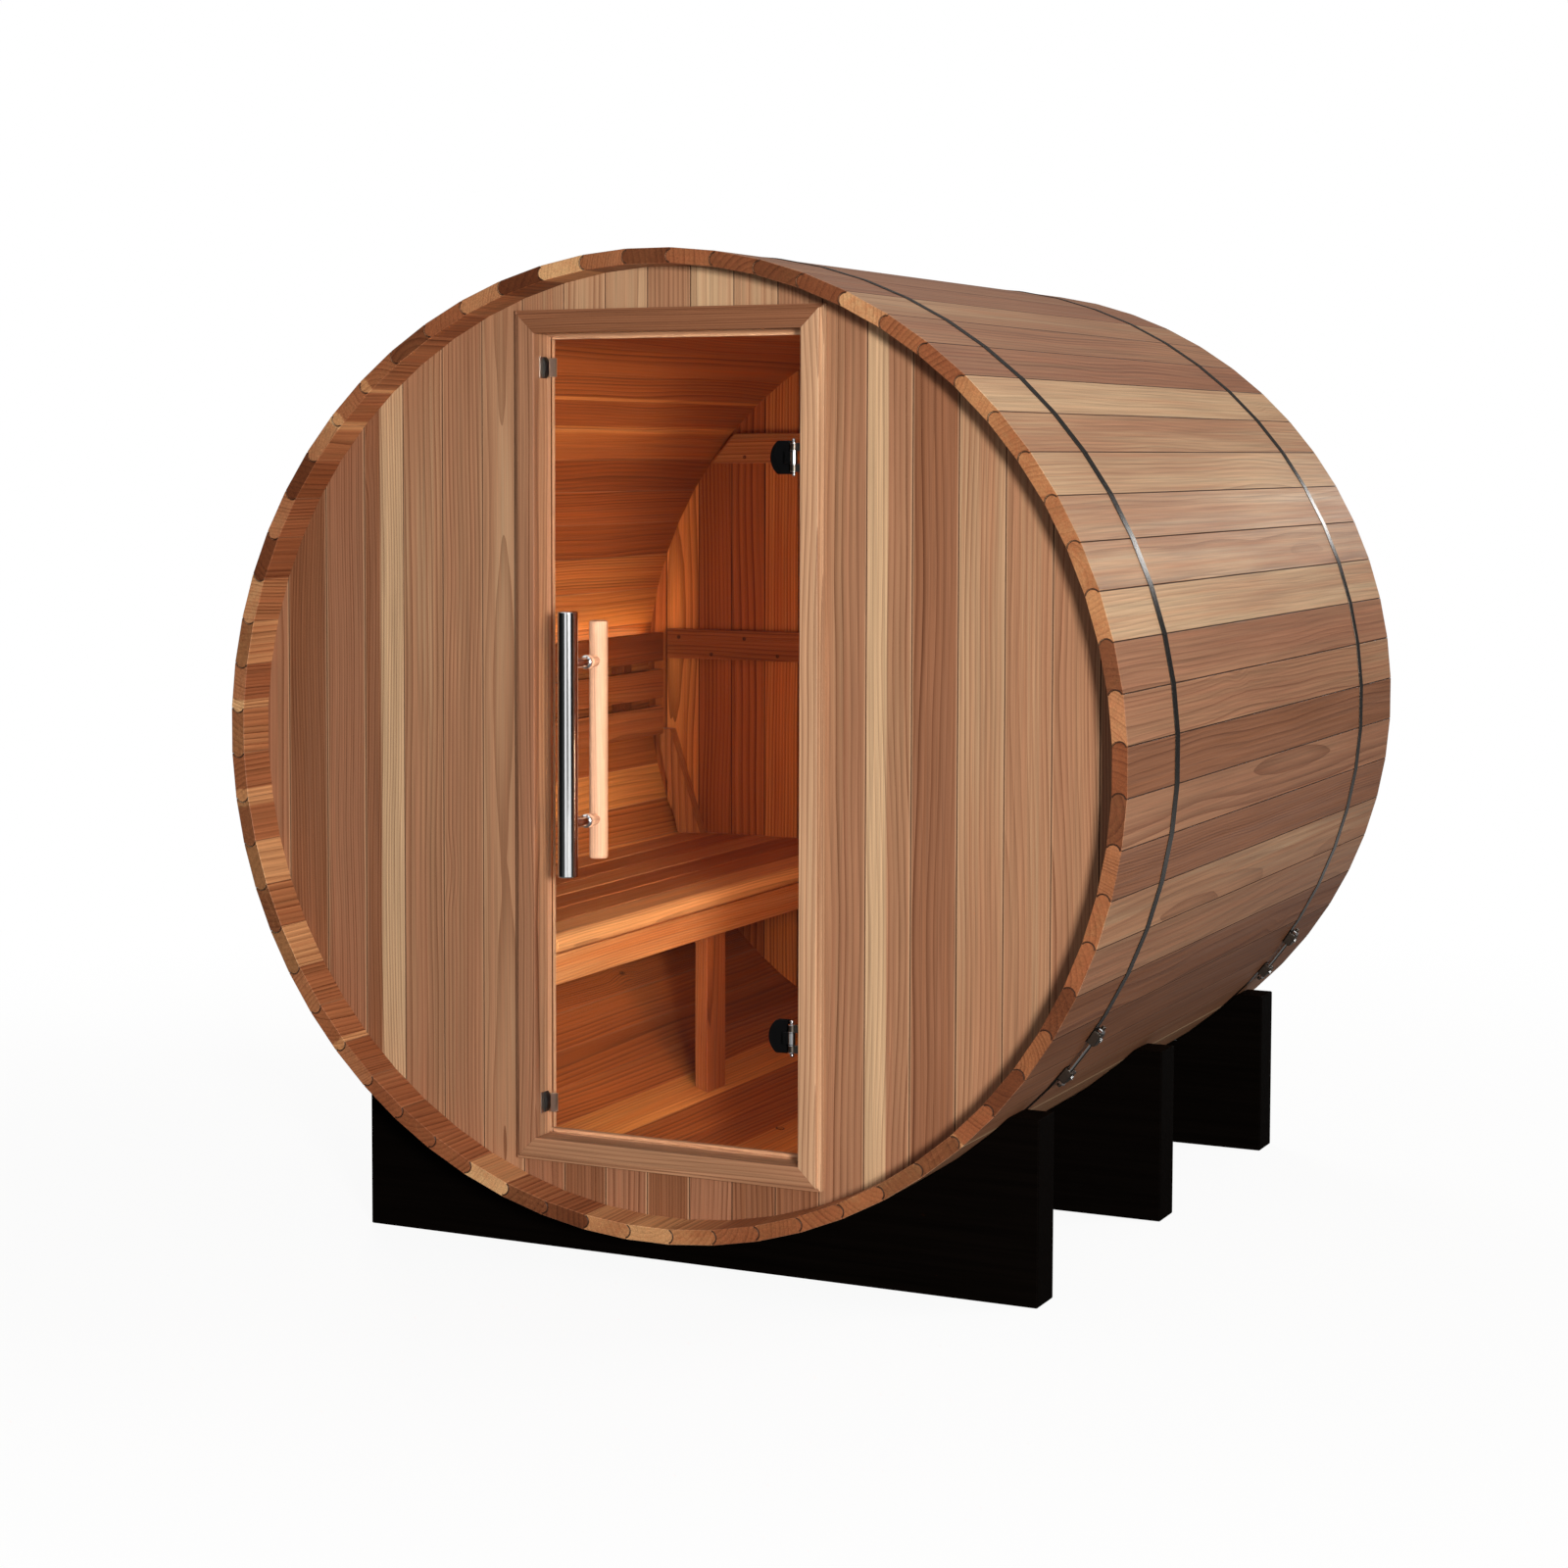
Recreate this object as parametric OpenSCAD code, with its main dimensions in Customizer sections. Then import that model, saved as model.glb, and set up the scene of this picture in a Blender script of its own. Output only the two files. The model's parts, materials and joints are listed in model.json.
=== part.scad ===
// Barrel sauna: beaded staves on three cradles, recessed board walls and a hinged glass door.
// The barrel lies along Y with its door at -Y. The ground is at Z = 0.

/* [Barrel] */
// Diameter over the corners of the staves
barrel_d = 1800; // [1700:10:2000]
// Length of the staves
barrel_len = 1830; // [1700:10:2400]
// Number of staves, a multiple of eight
stave_count = 64; // [56:8:72]
// Thickness of a stave
stave_t = 28; // [26:1:34]
// Height of the barrel over the ground
barrel_lift = 77; // [60:1:150]

/* [Stave joint] */
// Radius of the bead along one edge of a stave
bead_r = 12.5; // [10:0.5:12.5]
// How far the bead stands out of its edge
bead_h = 8; // [6:0.5:8.5]
// Play between two staves
stave_gap = 0.4; // [0.3:0.1:0.8]
// Width of the bevel on a stave's outer edges
stave_bevel = 1.2; // [0.8:0.1:2]
// Depth of the groove that seats an end wall
croze_depth = 9; // [7:0.5:12]
// Play of an end wall in its groove
croze_play = 0.3; // [0.2:0.1:0.6]

/* [Cradles] */
// Length of a cradle plank
cradle_len = 1380; // [1300:10:1500]
// Height of a cradle's ends
cradle_h = 338; // [300:1:400]
// Thickness of a cradle
cradle_t = 83; // [60:1:100]
// Distance of the outer cradles' centres from the stave ends
cradle_inset = 205; // [150:1:300]
// Play between a cradle and the stave corners
cradle_play = 0.3; // [0.2:0.1:0.6]

/* [Bands] */
// Width of a band
band_w = 26; // [18:1:35]
// Thickness of a band
band_t = 1.2; // [0.8:0.1:2]
// Room between the front band and the front cradle
band_front_room = 15; // [4:1:60]
// Room between the rear band and the rear cradle
band_rear_room = 4; // [4:1:60]
// Play between a band and the staves
band_play = 0.2; // [0.1:0.1:0.4]
// Staves from the barrel's side down to the upper lug
lug_stave = 6; // [5:1:7]
// Length of a lug along the band
lug_len = 26; // [20:1:32]
// Height of a lug over the band
lug_h = 17; // [15:1:22]
// Diameter of the tension rod
rod_d = 8; // [6:1:10]
// Play of the rod in its lugs
rod_play = 0.3; // [0.2:0.1:0.5]
// Width of a nut over its corners
nut_d = 15; // [13:0.5:17]
// Height of a nut
nut_h = 7; // [5:0.5:9]
// Room between a nut and its lug
nut_play = 0.5; // [0.4:0.1:0.8]
// Length of rod beyond a nut
rod_tail = 6; // [3:1:12]

/* [End walls] */
// Thickness of a wall board
wall_t = 33; // [28:1:38]
// Width that one wall board covers
board_w = 86.5; // [80:0.5:90]
// Play between two boards
board_gap = 0.4; // [0.3:0.1:0.8]
// Width of the bevel on a board's edges
board_bevel = 1.8; // [1:0.1:3]
// Length of a board's tongue
tongue_len = 8; // [6:0.5:10]
// Thickness of a board's tongue
tongue_t = 8; // [6:0.5:10]
// Distance of the front wall's face behind the stave ends
front_recess = 85; // [70:1:110]
// Distance of the rear wall's face behind the stave ends
rear_recess = 66; // [40:1:110]

/* [Doorway] */
// Wall boards that the doorway takes out
door_boards = 7; // [5:2:7]
// Thickness of the jambs, head and sill
jamb_t = 34; // [28:1:36]
// Depth of the jambs
jamb_depth = 47; // [44:1:60]
// How far the stop stands into the doorway
stop_w = 10; // [8:1:14]
// Depth of the stop
stop_depth = 15; // [12:1:18]
// Width of the trim
trim_w = 43; // [38:1:50]
// Thickness of the trim
trim_t = 20; // [16:1:24]
// Width of the step along the trim's outer edge
trim_step_w = 7; // [4:0.5:9]
// Depth of the step along the trim's outer edge
trim_step_d = 8; // [4:0.5:10]
// Bevel on the edges of the trim's face
trim_ease = 2.5; // [1:0.5:4]
// Room between the trim's corners and the staves
trim_margin = 15; // [12:1:60]
// Height of the doorway's middle over the barrel's middle
door_rise = 4; // [0:1:10]
// Play between pieces of the doorway
frame_play = 0.3; // [0.2:0.1:0.5]

/* [Glass door] */
// Thickness of the glass
glass_t = 8; // [6:1:10]
// Distance of the glass behind the wall's face
glass_recess = 16; // [14:1:20]
// Room between the glass and the jamb at the hinges
hinge_side_gap = 6; // [5:0.5:8]
// Room between the glass and the jamb at the catches
catch_side_gap = 16; // [15:0.5:20]
// Room over and under the glass
glass_end_gap = 6; // [5:0.5:10]

/* [Hinges] */
// Distance of the hinge axis from the jamb
hinge_inset = 20.5; // [18:0.5:28]
// Distance of the hinge axis in front of the glass
hinge_stand = 14; // [12:1:18]
// Diameter of a hinge barrel
knuckle_d = 13; // [11:0.5:15]
// Height of a hinge barrel
knuckle_h = 52; // [46:1:66]
// Height of the middle knuckle
knuckle_mid_h = 22; // [18:1:26]
// Room between two knuckles
knuckle_gap = 0.4; // [0.3:0.1:0.8]
// Diameter of the hinge pin
pin_d = 7; // [5:0.5:8]
// Play of the pin in the turning knuckle
pin_play = 0.05; // [0.03:0.01:0.08]
// Diameter of the ball on each end of a hinge pin
finial_d = 8; // [7.5:0.5:11]
// Thickness of the leaf on the jamb
leaf_t = 3; // [2:0.5:4]
// Width of the leaf on the jamb
leaf_w = 22; // [18:1:26]
// Thickness of the web between barrel and leaf
web_t = 6; // [4:0.5:8]
// Height of the clamp plates on the glass
clamp_h = 60; // [50:1:66]
// Width of the clamp plates on the glass
clamp_w = 38; // [34:1:44]
// Thickness of a clamp plate
clamp_t = 5; // [4:0.5:7]
// Distance of the clamp plates from the hinge axis
clamp_offset = 13; // [11:0.5:16]
// Distance of the hinges' centres from the glass ends
hinge_end_dist = 222; // [180:1:300]

/* [Catches] */
// Height of a catch
catch_h = 40; // [34:1:48]
// Bulge of a catch's bumper
catch_bulge = 7; // [5:0.5:8]
// Thickness of a catch's base plate
catch_plate_t = 2; // [1.5:0.1:2.5]
// Depth of a catch
catch_depth = 16; // [12:1:18]
// Run of a catch's base plate in front of its bumper
catch_plate_run = 11; // [4:0.5:12]
// Distance of the catches' centres from the glass ends
catch_end_dist = 56; // [50:1:120]
// Width of the clip on the glass
clip_w = 11; // [9:0.5:18]
// Height of the clip on the glass
clip_h = 34; // [26:1:40]
// Thickness of the clip's sheet
clip_t = 1.5; // [1:0.1:2]

/* [Handle] */
// Diameter of the outer tube
tube_d = 38; // [32:1:42]
// Wall of the outer tube
tube_wall = 2; // [1.5:0.1:3]
// Length of the outer tube
tube_len = 490; // [440:5:600]
// Distance of the tube's centre in front of the glass
tube_stand = 72; // [66:1:76]
// Diameter of the inner wooden bar
bar_d = 35; // [28:1:40]
// Length of the inner wooden bar
bar_len = 446; // [400:2:560]
// Distance of the bar's centre behind the glass
bar_stand = 43; // [40:1:60]
// Height between the two posts
post_pitch = 296; // [260:2:360]
// Diameter of a post
post_d = 19; // [15:0.5:22]
// Diameter of a post's collar on the glass
collar_d = 26; // [24:0.5:30]
// Thickness of a post's collar
collar_t = 5; // [3:0.5:8]
// Diameter of the stud through the glass
stud_d = 8; // [6:0.5:10]
// Play round the stud in the glass
stud_play = 1; // [0.5:0.1:2]
// Distance of the handle from the glass edge
handle_inset = 74; // [66:1:120]
// Play between the handle's pieces
handle_play = 0.2; // [0.1:0.1:0.4]

/* [Bench] */
// Height of the bench over the lowest stave
bench_h = 498; // [440:2:540]
// Distance of the bench's front edge from the barrel's middle
bench_front = 255; // [220:1:300]
// Width of the front plank
front_plank_w = 86; // [76:1:140]
// Thickness of the planks
plank_t = 38; // [28:1:44]
// Number of planks behind the front plank
plank_count = 5; // [3:1:6]
// Gap between two planks
plank_gap = 3; // [2:0.5:10]
// Room between the bench and the walls
bench_play = 4; // [3:0.5:8]
// Height of the apron
apron_h = 58; // [50:1:80]
// Thickness of the apron and bearers
timber_t = 38; // [32:1:44]
// Thickness of the leg
leg_t = 29; // [24:1:40]
// Depth of the leg along the bench
leg_w = 89; // [70:1:100]
// Distance of the apron behind the bench's front edge
apron_set = 8; // [4:1:20]
// Distance of the leg behind the bench's front edge
leg_set = 52; // [50:1:70]
// Place of the leg's front side along the barrel
leg_y = -25; // [-100:1:100]
// Height of the bearers
bearer_h = 58; // [50:1:80]
// Play between the leg's foot and the staves
foot_play = 0.3; // [0.2:0.1:0.5]

/* [Backrest] */
// Height of a slat
slat_h = 68; // [56:1:76]
// Thickness of a slat
slat_t = 20; // [16:1:24]
// Number of slats
slat_count = 3; // [2:1:3]
// Height between two slats
slat_pitch = 88; // [82:1:100]
// Height of the lowest slat over the bench
slat_rise = 236; // [200:2:270]
// Distance of the slats' faces from the staves where they lie closest
slat_stand = 46; // [40:1:60]
// Thickness of a support at an end wall
support_t = 31; // [24:1:38]
// Width of a support at the bench
support_foot_w = 60; // [50:1:70]
// Width of a support at its top
support_top_w = 37; // [28:1:44]
// Distance of a support's foot from the staves
support_gap = 10; // [4:1:20]
// Height of a support over the bench
support_h = 248; // [200:1:260]
// Width of a cleat between the slats and the staves
cleat_w = 38; // [28:1:50]
// Distance of the outer cleats from the slats' ends
cleat_inset = 130; // [60:1:240]
// Play between the cleats and the staves
cleat_play = 0.3; // [0.2:0.1:0.5]
// Width of the light bar
light_w = 16; // [12:1:18]
// Height of the light bar
light_h = 10; // [8:1:14]
// Depth of the light bar's top under the top of the slats
light_drop = 6; // [2:1:12]

/* [Rear battens] */
// Height of a batten
batten_h = 70; // [56:1:80]
// Thickness of a batten
batten_t = 22; // [18:1:28]
// Height of the upper batten over the barrel's middle
batten_upper_z = 547; // [480:1:580]
// Height of the lower batten over the barrel's middle
batten_lower_z = 80; // [40:1:160]
// Room between the battens' ends and the staves
batten_gap = 12; // [6:1:30]

/* [Hidden] */
$fn = 96;

cedar = "#b98c68";
red_cedar = "#9c6844";
pale_cedar = "#c9a27c";
black_stain = "#161514";
steel = "#b9bcbe";
chrome = "#d4d6d8";
black_metal = "#1c1c1e";
glass_tint = [0.75, 0.85, 0.85, 0.3];

eps = 1;
half_step = 180 / stave_count;
stave_step = 2 * half_step;
octant = stave_count / 8;
r_corner = barrel_d / 2;
r_out = r_corner * cos(half_step);
r_in = r_out - stave_t;
r_mid = r_in + stave_t / 2;
axis_z = barrel_lift + r_corner;
front_y = -barrel_len / 2;
rear_y = barrel_len / 2;

front_wall_y = front_y + front_recess;
front_wall_in = front_wall_y + wall_t;
rear_wall_y = rear_y - rear_recess - wall_t;
wall_r = r_in + croze_depth - croze_play;
last_board = ceil((wall_r - board_w / 2) / board_w);

opening_x = door_boards * board_w / 2;
edge_board = (door_boards - 1) / 2;
door_x = opening_x - jamb_t - frame_play;
trim_x = door_x + trim_w;
trim_z = sqrt(pow(r_in - trim_margin, 2) - pow(trim_x, 2)) - door_rise;
door_mid = axis_z + door_rise;
door_z = trim_z - trim_w;
opening_z = door_z + jamb_t + frame_play;

glass_y = front_wall_y + glass_recess;
glass_back = glass_y + glass_t;
glass_left = -door_x + catch_side_gap;
glass_right = door_x - hinge_side_gap;
glass_z = door_z - glass_end_gap;

hinge_x = door_x - hinge_inset;
hinge_y = glass_y - hinge_stand;
hinge_z = glass_z - hinge_end_dist;
catch_z = glass_z - catch_end_dist;
handle_x = glass_left + handle_inset;
tube_y = glass_y - tube_stand;
bar_y = glass_back + bar_stand;

bench_z = axis_z - r_in + bench_h;
bench_under = bench_z - plank_t;
bench_back = stave_x(bench_under) - bench_play;
back_plank_w = (bench_back - bench_front - front_plank_w) / plank_count - plank_gap;
bench_y0 = max(front_wall_in, front_wall_y + jamb_depth) + bench_play;
bench_y1 = rear_wall_y - bench_play;
apron_x = -bench_front - apron_set;
bearer_ys = [bench_y0 + timber_t, leg_y + leg_w / 2, bench_y1 - timber_t];

slat_z0 = bench_z + slat_rise;
slat_top = slat_z0 + (slat_count - 1) * slat_pitch + slat_h;
slat_face = min(stave_x(slat_z0), stave_x(slat_top)) - slat_stand;
slat_back = slat_face + slat_t;
slat_y0 = bench_y0 + support_t + frame_play;
slat_y1 = rear_wall_y - support_t - frame_play;
cleat_top = slat_top - light_drop - light_h;
cleat_ys = [slat_y0 + cleat_inset, (slat_y0 + slat_y1 - cleat_w) / 2, slat_y1 - cleat_inset - cleat_w];
support_ys = [bench_y0, rear_wall_y - frame_play - support_t];

cradle_y = barrel_len / 2 - cradle_inset;
band_front_y = -cradle_y + cradle_t / 2 + band_front_room + band_w / 2;
band_rear_y = cradle_y - cradle_t / 2 - band_rear_room - band_w / 2;
band_r = r_out + band_play;
lug_r = band_r + band_t;
rod_r = (lug_r + lug_h / 2) * cos(half_step);
lug_half = (lug_r + lug_h / 2) * sin(half_step);

// Half the cabin's width at height z
function stave_x(z) = sqrt(pow(r_in, 2) - pow(z - axis_z, 2));

// Corners of a regular outline that lies flat on the staves
function ring_points(r) =
    [for (i = [0:stave_count - 1]) let (a = 90 + half_step + i * stave_step)
        [r / cos(half_step) * cos(a), r / cos(half_step) * sin(a)]];

// Section of the topmost stave, its bead on the left and its cove on the right
module stave_section() {
    side = stave_gap / 2 / cos(half_step);
    inner = r_in * tan(half_step) - side;
    outer = r_out * tan(half_step) - side;
    bead_set = bead_r - bead_h;
    difference() {
        union() {
            polygon([
                [-inner, r_in], [inner, r_in],
                [outer, r_out - stave_bevel], [outer - stave_bevel, r_out],
                [stave_bevel - outer, r_out], [-outer, r_out - stave_bevel]
            ]);
            rotate(half_step) translate([bead_set, r_mid]) circle(bead_r);
        }
        rotate(-half_step) translate([bead_set, r_mid]) circle(bead_r + stave_gap);
    }
}

// Groove across the inner face of the topmost stave for the wall that starts at y
module croze(y) {
    translate([-r_corner / 4, y - croze_play, r_in - eps])
        cube([r_corner / 2, wall_t + 2 * croze_play, croze_depth + eps]);
}

module stave() {
    difference() {
        translate([0, rear_y, 0]) rotate([90, 0, 0]) linear_extrude(barrel_len) stave_section();
        croze(front_wall_y);
        croze(rear_wall_y);
    }
}

// One eighth of the barrel, counted to the left from the top as seen from the door
module stave_octant(first) {
    translate([0, 0, axis_z])
        for (i = [0:octant - 1])
            rotate([0, -(first * octant + i - floor(octant / 2)) * stave_step, 0]) stave();
}

module cradle(y) {
    color(black_stain)
    difference() {
        translate([-cradle_len / 2, y - cradle_t / 2, 0]) cube([cradle_len, cradle_t, cradle_h]);
        translate([0, y - cradle_t, axis_z]) rotate([-90, 0, 0])
            cylinder(r = r_corner + cradle_play, h = 2 * cradle_t);
    }
}

// Turns its children from the barrel's side down to the joint between the two lugs
module at_tensioner(y) {
    translate([0, y, axis_z]) rotate([0, 90 + (lug_stave + 0.5) * stave_step, 0]) children();
}

module band(y) {
    cut = lug_r * 2;
    gap = lug_half - lug_len / 2;
    color(steel)
    difference() {
        translate([0, y + band_w / 2, axis_z]) rotate([90, 0, 0]) linear_extrude(band_w)
            difference() {
                polygon(ring_points(lug_r));
                polygon(ring_points(band_r));
            }
        at_tensioner(y) translate([-gap, -band_w, 0]) cube([2 * gap, 2 * band_w, cut]);
    }
}

module tension_rod() {
    nut_x = lug_half + lug_len / 2 + nut_play;
    translate([0, 0, rod_r]) rotate([0, 90, 0]) {
        rod = 2 * (nut_x + nut_h + rod_tail);
        cylinder(d = rod_d, h = rod, center = true);
        for (side = [0, 1])
            mirror([0, 0, side]) translate([0, 0, nut_x]) cylinder(d = nut_d, h = nut_h, $fn = 6);
    }
}

module lug() {
    translate([-lug_len / 2, -band_w / 2, lug_r]) cube([lug_len, band_w, lug_h]);
}

module tensioner(y) {
    color(chrome)
    at_tensioner(y) {
        for (side = [-1, 1])
            difference() {
                rotate([0, side * half_step, 0]) lug();
                translate([0, 0, rod_r]) rotate([0, 90, 0])
                    cylinder(d = rod_d + 2 * rod_play, h = 4 * lug_half + 4 * lug_len, center = true);
            }
        tension_rod();
    }
}

// Section of the wall board with its middle at x = 0, its outer face at y = 0
module board_section(tongue, groove) {
    half = board_w / 2 - board_gap / 2;
    reach = tongue ? tongue_len : 0;
    cut = groove ? tongue_len + board_gap : 0;
    y0 = (wall_t - tongue_t) / 2;
    y1 = (wall_t + tongue_t) / 2;
    b = board_bevel;
    difference() {
        union() {
            polygon([
                [b - half, 0], [half - b, 0], [half, b], [half, wall_t - b],
                [half - b, wall_t], [b - half, wall_t], [-half, wall_t - b], [-half, b]
            ]);
            if (tongue) translate([0, y0]) square([half + reach, tongue_t]);
        }
        if (groove)
            translate([-half - eps, y0 - board_gap]) square([cut + eps, tongue_t + 2 * board_gap]);
    }
}

// Boards first to last of a wall, between the heights z0 and z1 over the barrel's middle
module wall_boards(y, first, last, z0, z1, open_left, open_right) {
    translate([0, y, axis_z])
        for (i = [first:last])
            intersection() {
                translate([i * board_w, 0, z0]) linear_extrude(z1 - z0)
                    board_section(!(i == last && open_right), !(i == first && open_left));
                translate([0, -eps, 0]) rotate([-90, 0, 0]) cylinder(r = wall_r, h = wall_t + 2 * eps);
            }
}

// Mitred piece of the frame round the doorway: a section in x outwards and y inwards from the
// doorway's edge, run along the edge at the given half width and half height
module mitred_run(edge, half_len, reach) {
    intersection() {
        translate([edge, 0, -half_len - reach - eps])
            linear_extrude(2 * (half_len + reach + eps)) children();
        rotate([90, 0, 0]) linear_extrude(4 * barrel_len, center = true)
            polygon([
                [edge - reach, reach - half_len + frame_play],
                [edge + reach, -half_len - reach + frame_play],
                [edge + reach, half_len + reach - frame_play],
                [edge - reach, half_len - reach - frame_play]
            ]);
    }
}

// The four mitred pieces of a frame round the doorway, its front at y
module doorway_frame(y, reach) {
    translate([0, y, door_mid])
        for (side = [0, 1]) {
            mirror([side, 0, 0]) mitred_run(door_x, door_z, reach) children();
            rotate([0, -90, 0]) mirror([side, 0, 0]) mitred_run(door_z, door_x, reach) children();
        }
}

module jamb_section() {
    stop_y = jamb_depth - stop_depth;
    polygon([
        [0, 0], [jamb_t, 0], [jamb_t, jamb_depth], [-stop_w, jamb_depth], [-stop_w, stop_y], [0, stop_y]
    ]);
}

module trim_section() {
    face = trim_w - trim_step_w;
    polygon([
        [0, trim_t], [0, trim_ease], [trim_ease, 0], [face - trim_ease, 0], [face, trim_ease],
        [face, trim_step_d], [trim_w, trim_step_d], [trim_w, trim_t]
    ]);
}

module at_hinges() {
    for (side = [-1, 1])
        translate([hinge_x, hinge_y, door_mid + side * hinge_z]) children();
}

// Outline of a clamp plate: a disc with its top and bottom cut straight
module clamp_plate(y) {
    translate([-clamp_offset, y + clamp_t, 0]) rotate([90, 0, 0]) linear_extrude(clamp_t)
        intersection() {
            circle(clamp_w);
            translate([-clamp_w, -clamp_h / 2]) square([clamp_w, clamp_h]);
        }
}

module hinge_leaf() {
    arm_h = (knuckle_h - knuckle_mid_h) / 2 - knuckle_gap;
    difference() {
        union() {
            translate([hinge_inset - leaf_t, -leaf_w / 2 - web_t / 2, -knuckle_h / 2])
                cube([leaf_t, leaf_w, knuckle_h]);
            for (z = [-knuckle_h / 2, knuckle_h / 2 - arm_h]) {
                translate([0, 0, z]) cylinder(d = knuckle_d, h = arm_h);
                translate([0, -web_t / 2, z]) cube([hinge_inset - leaf_t / 2, web_t, arm_h]);
            }
        }
        cylinder(d = pin_d + 2 * pin_play, h = 2 * knuckle_h, center = true);
    }
}

module hinge_clamp() {
    arm_y = hinge_stand - frame_play;
    difference() {
        union() {
            cylinder(d = knuckle_d, h = knuckle_mid_h, center = true);
            translate([-clamp_offset - clamp_t, 0, -knuckle_mid_h / 2])
                cube([clamp_offset + clamp_t, arm_y, knuckle_mid_h]);
            clamp_plate(arm_y - clamp_t);
        }
        cylinder(d = pin_d + 2 * pin_play, h = 2 * knuckle_h, center = true);
    }
}

module at_catches() {
    for (side = [-1, 1])
        translate([0, glass_y + glass_t / 2, door_mid + side * catch_z]) children();
}

// Half-round bumper that stands on the base plate of a catch
module bumper() {
    r = (pow(catch_h / 2, 2) + pow(catch_bulge, 2)) / (2 * catch_bulge);
    rotate([90, 0, 0]) linear_extrude(catch_depth, center = true)
        intersection() {
            translate([catch_bulge - r, 0]) circle(r);
            translate([0, -catch_h / 2]) square([catch_bulge, catch_h]);
        }
}

module at_posts() {
    for (side = [-1, 1])
        translate([handle_x, 0, axis_z + side * post_pitch / 2]) children();
}

// Round bar along Y from one place to another
module bar_along_y(d, y0, y1) {
    translate([0, y0, 0]) rotate([-90, 0, 0]) cylinder(d = d, h = y1 - y0);
}

// Plank along the bench with rounded front edge
module plank(x0, x1, round_edge) {
    translate([0, bench_y1, bench_under]) rotate([90, 0, 0]) linear_extrude(bench_y1 - bench_y0)
        if (round_edge) {
            translate([x0, 0]) square([x1 - x0 - plank_t / 2, plank_t]);
            translate([x1 - plank_t / 2, plank_t / 2]) circle(d = plank_t);
        } else {
            translate([x0, 0]) square([x1 - x0, plank_t]);
        }
}

// Leaning support that stands on the bench against an end wall
module support() {
    foot = stave_x(bench_z) - support_gap;
    rotate([90, 0, 0]) translate([0, 0, -support_t]) linear_extrude(support_t)
        polygon([
            [support_foot_w - foot, bench_z], [-foot, bench_z],
            [-slat_back, bench_z + support_h], [support_top_w - slat_back, bench_z + support_h]
        ]);
}

// Cleat between the slats and the staves
module cleat() {
    mid = (slat_z0 + cleat_top) / 2;
    rotate([90, 0, 0]) translate([0, 0, -cleat_w]) linear_extrude(cleat_w)
        polygon([
            [-slat_back, slat_z0], [cleat_play - stave_x(slat_z0), slat_z0],
            [cleat_play - stave_x(mid), mid],
            [cleat_play - stave_x(cleat_top), cleat_top], [-slat_back, cleat_top]
        ]);
}

module cradle_front() { cradle(-cradle_y); }
module cradle_middle() { cradle(0); }
module cradle_rear() { cradle(cradle_y); }

module staves_top() { color(cedar) stave_octant(0); }
module staves_top_left() { color(red_cedar) stave_octant(1); }
module staves_left() { color(cedar) stave_octant(2); }
module staves_bottom_left() { color(red_cedar) stave_octant(3); }
module staves_bottom() { color(cedar) stave_octant(4); }
module staves_bottom_right() { color(red_cedar) stave_octant(5); }
module staves_right() { color(cedar) stave_octant(6); }
module staves_top_right() { color(red_cedar) stave_octant(7); }

module band_front() { band(band_front_y); }
module band_rear() { band(band_rear_y); }
module tensioner_front() { tensioner(band_front_y); }
module tensioner_rear() { tensioner(band_rear_y); }

module front_wall_left() {
    color(cedar) wall_boards(front_wall_y, -last_board, -edge_board - 1, -wall_r, wall_r, false, true);
}

module front_wall_right() {
    color(cedar) wall_boards(front_wall_y, edge_board + 1, last_board, -wall_r, wall_r, true, false);
}

module front_wall_header() {
    z0 = door_rise + opening_z;
    color(cedar) wall_boards(front_wall_y, -edge_board, edge_board, z0, wall_r, true, true);
}

module front_wall_sill() {
    z1 = door_rise - opening_z;
    color(cedar) wall_boards(front_wall_y, -edge_board, edge_board, -wall_r, z1, true, true);
}

module rear_wall() {
    color(cedar) wall_boards(rear_wall_y, -last_board, last_board, -wall_r, wall_r, false, false);
}

module door_jambs() {
    color(pale_cedar) doorway_frame(front_wall_y, jamb_t) jamb_section();
}

module door_trim() {
    color(pale_cedar) doorway_frame(front_wall_y - trim_t, trim_w) trim_section();
}

module hinge_leaves() {
    color(chrome) at_hinges() hinge_leaf();
}

module hinge_pins() {
    ball_z = (knuckle_h + finial_d) / 2 + knuckle_gap;
    color(chrome) at_hinges() {
        cylinder(d = pin_d, h = 2 * ball_z, center = true);
        for (side = [-1, 1])
            translate([0, 0, side * ball_z]) sphere(d = finial_d);
    }
}

module hinge_clamps() {
    color(black_metal) at_hinges() hinge_clamp();
}

module hinge_backplates() {
    color(black_metal) at_hinges() clamp_plate(hinge_stand + glass_t + frame_play);
}

module catch_plates() {
    color(steel) at_catches()
        translate([-door_x, -catch_depth / 2 - catch_plate_run, -catch_h / 2])
            cube([catch_plate_t, catch_depth + catch_plate_run, catch_h]);
}

module catch_bumpers() {
    color(black_metal) at_catches() translate([catch_plate_t - door_x, 0, 0]) bumper();
}

module strike_clips() {
    outer = glass_t + 2 * (clip_t + handle_play);
    color(chrome) at_catches()
        translate([glass_left - handle_play - clip_t, 0, 0])
            difference() {
                translate([0, -outer / 2, -clip_h / 2]) cube([clip_w, outer, clip_h]);
                translate([clip_t, clip_t - outer / 2, -clip_h])
                    cube([clip_w, outer - 2 * clip_t, 2 * clip_h]);
            }
}

module door_glass() {
    color(glass_tint)
    difference() {
        translate([glass_left, glass_y, door_mid - glass_z])
            cube([glass_right - glass_left, glass_t, 2 * glass_z]);
        at_posts() bar_along_y(stud_d + 2 * stud_play, glass_y - eps, glass_back + eps);
    }
}

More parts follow.
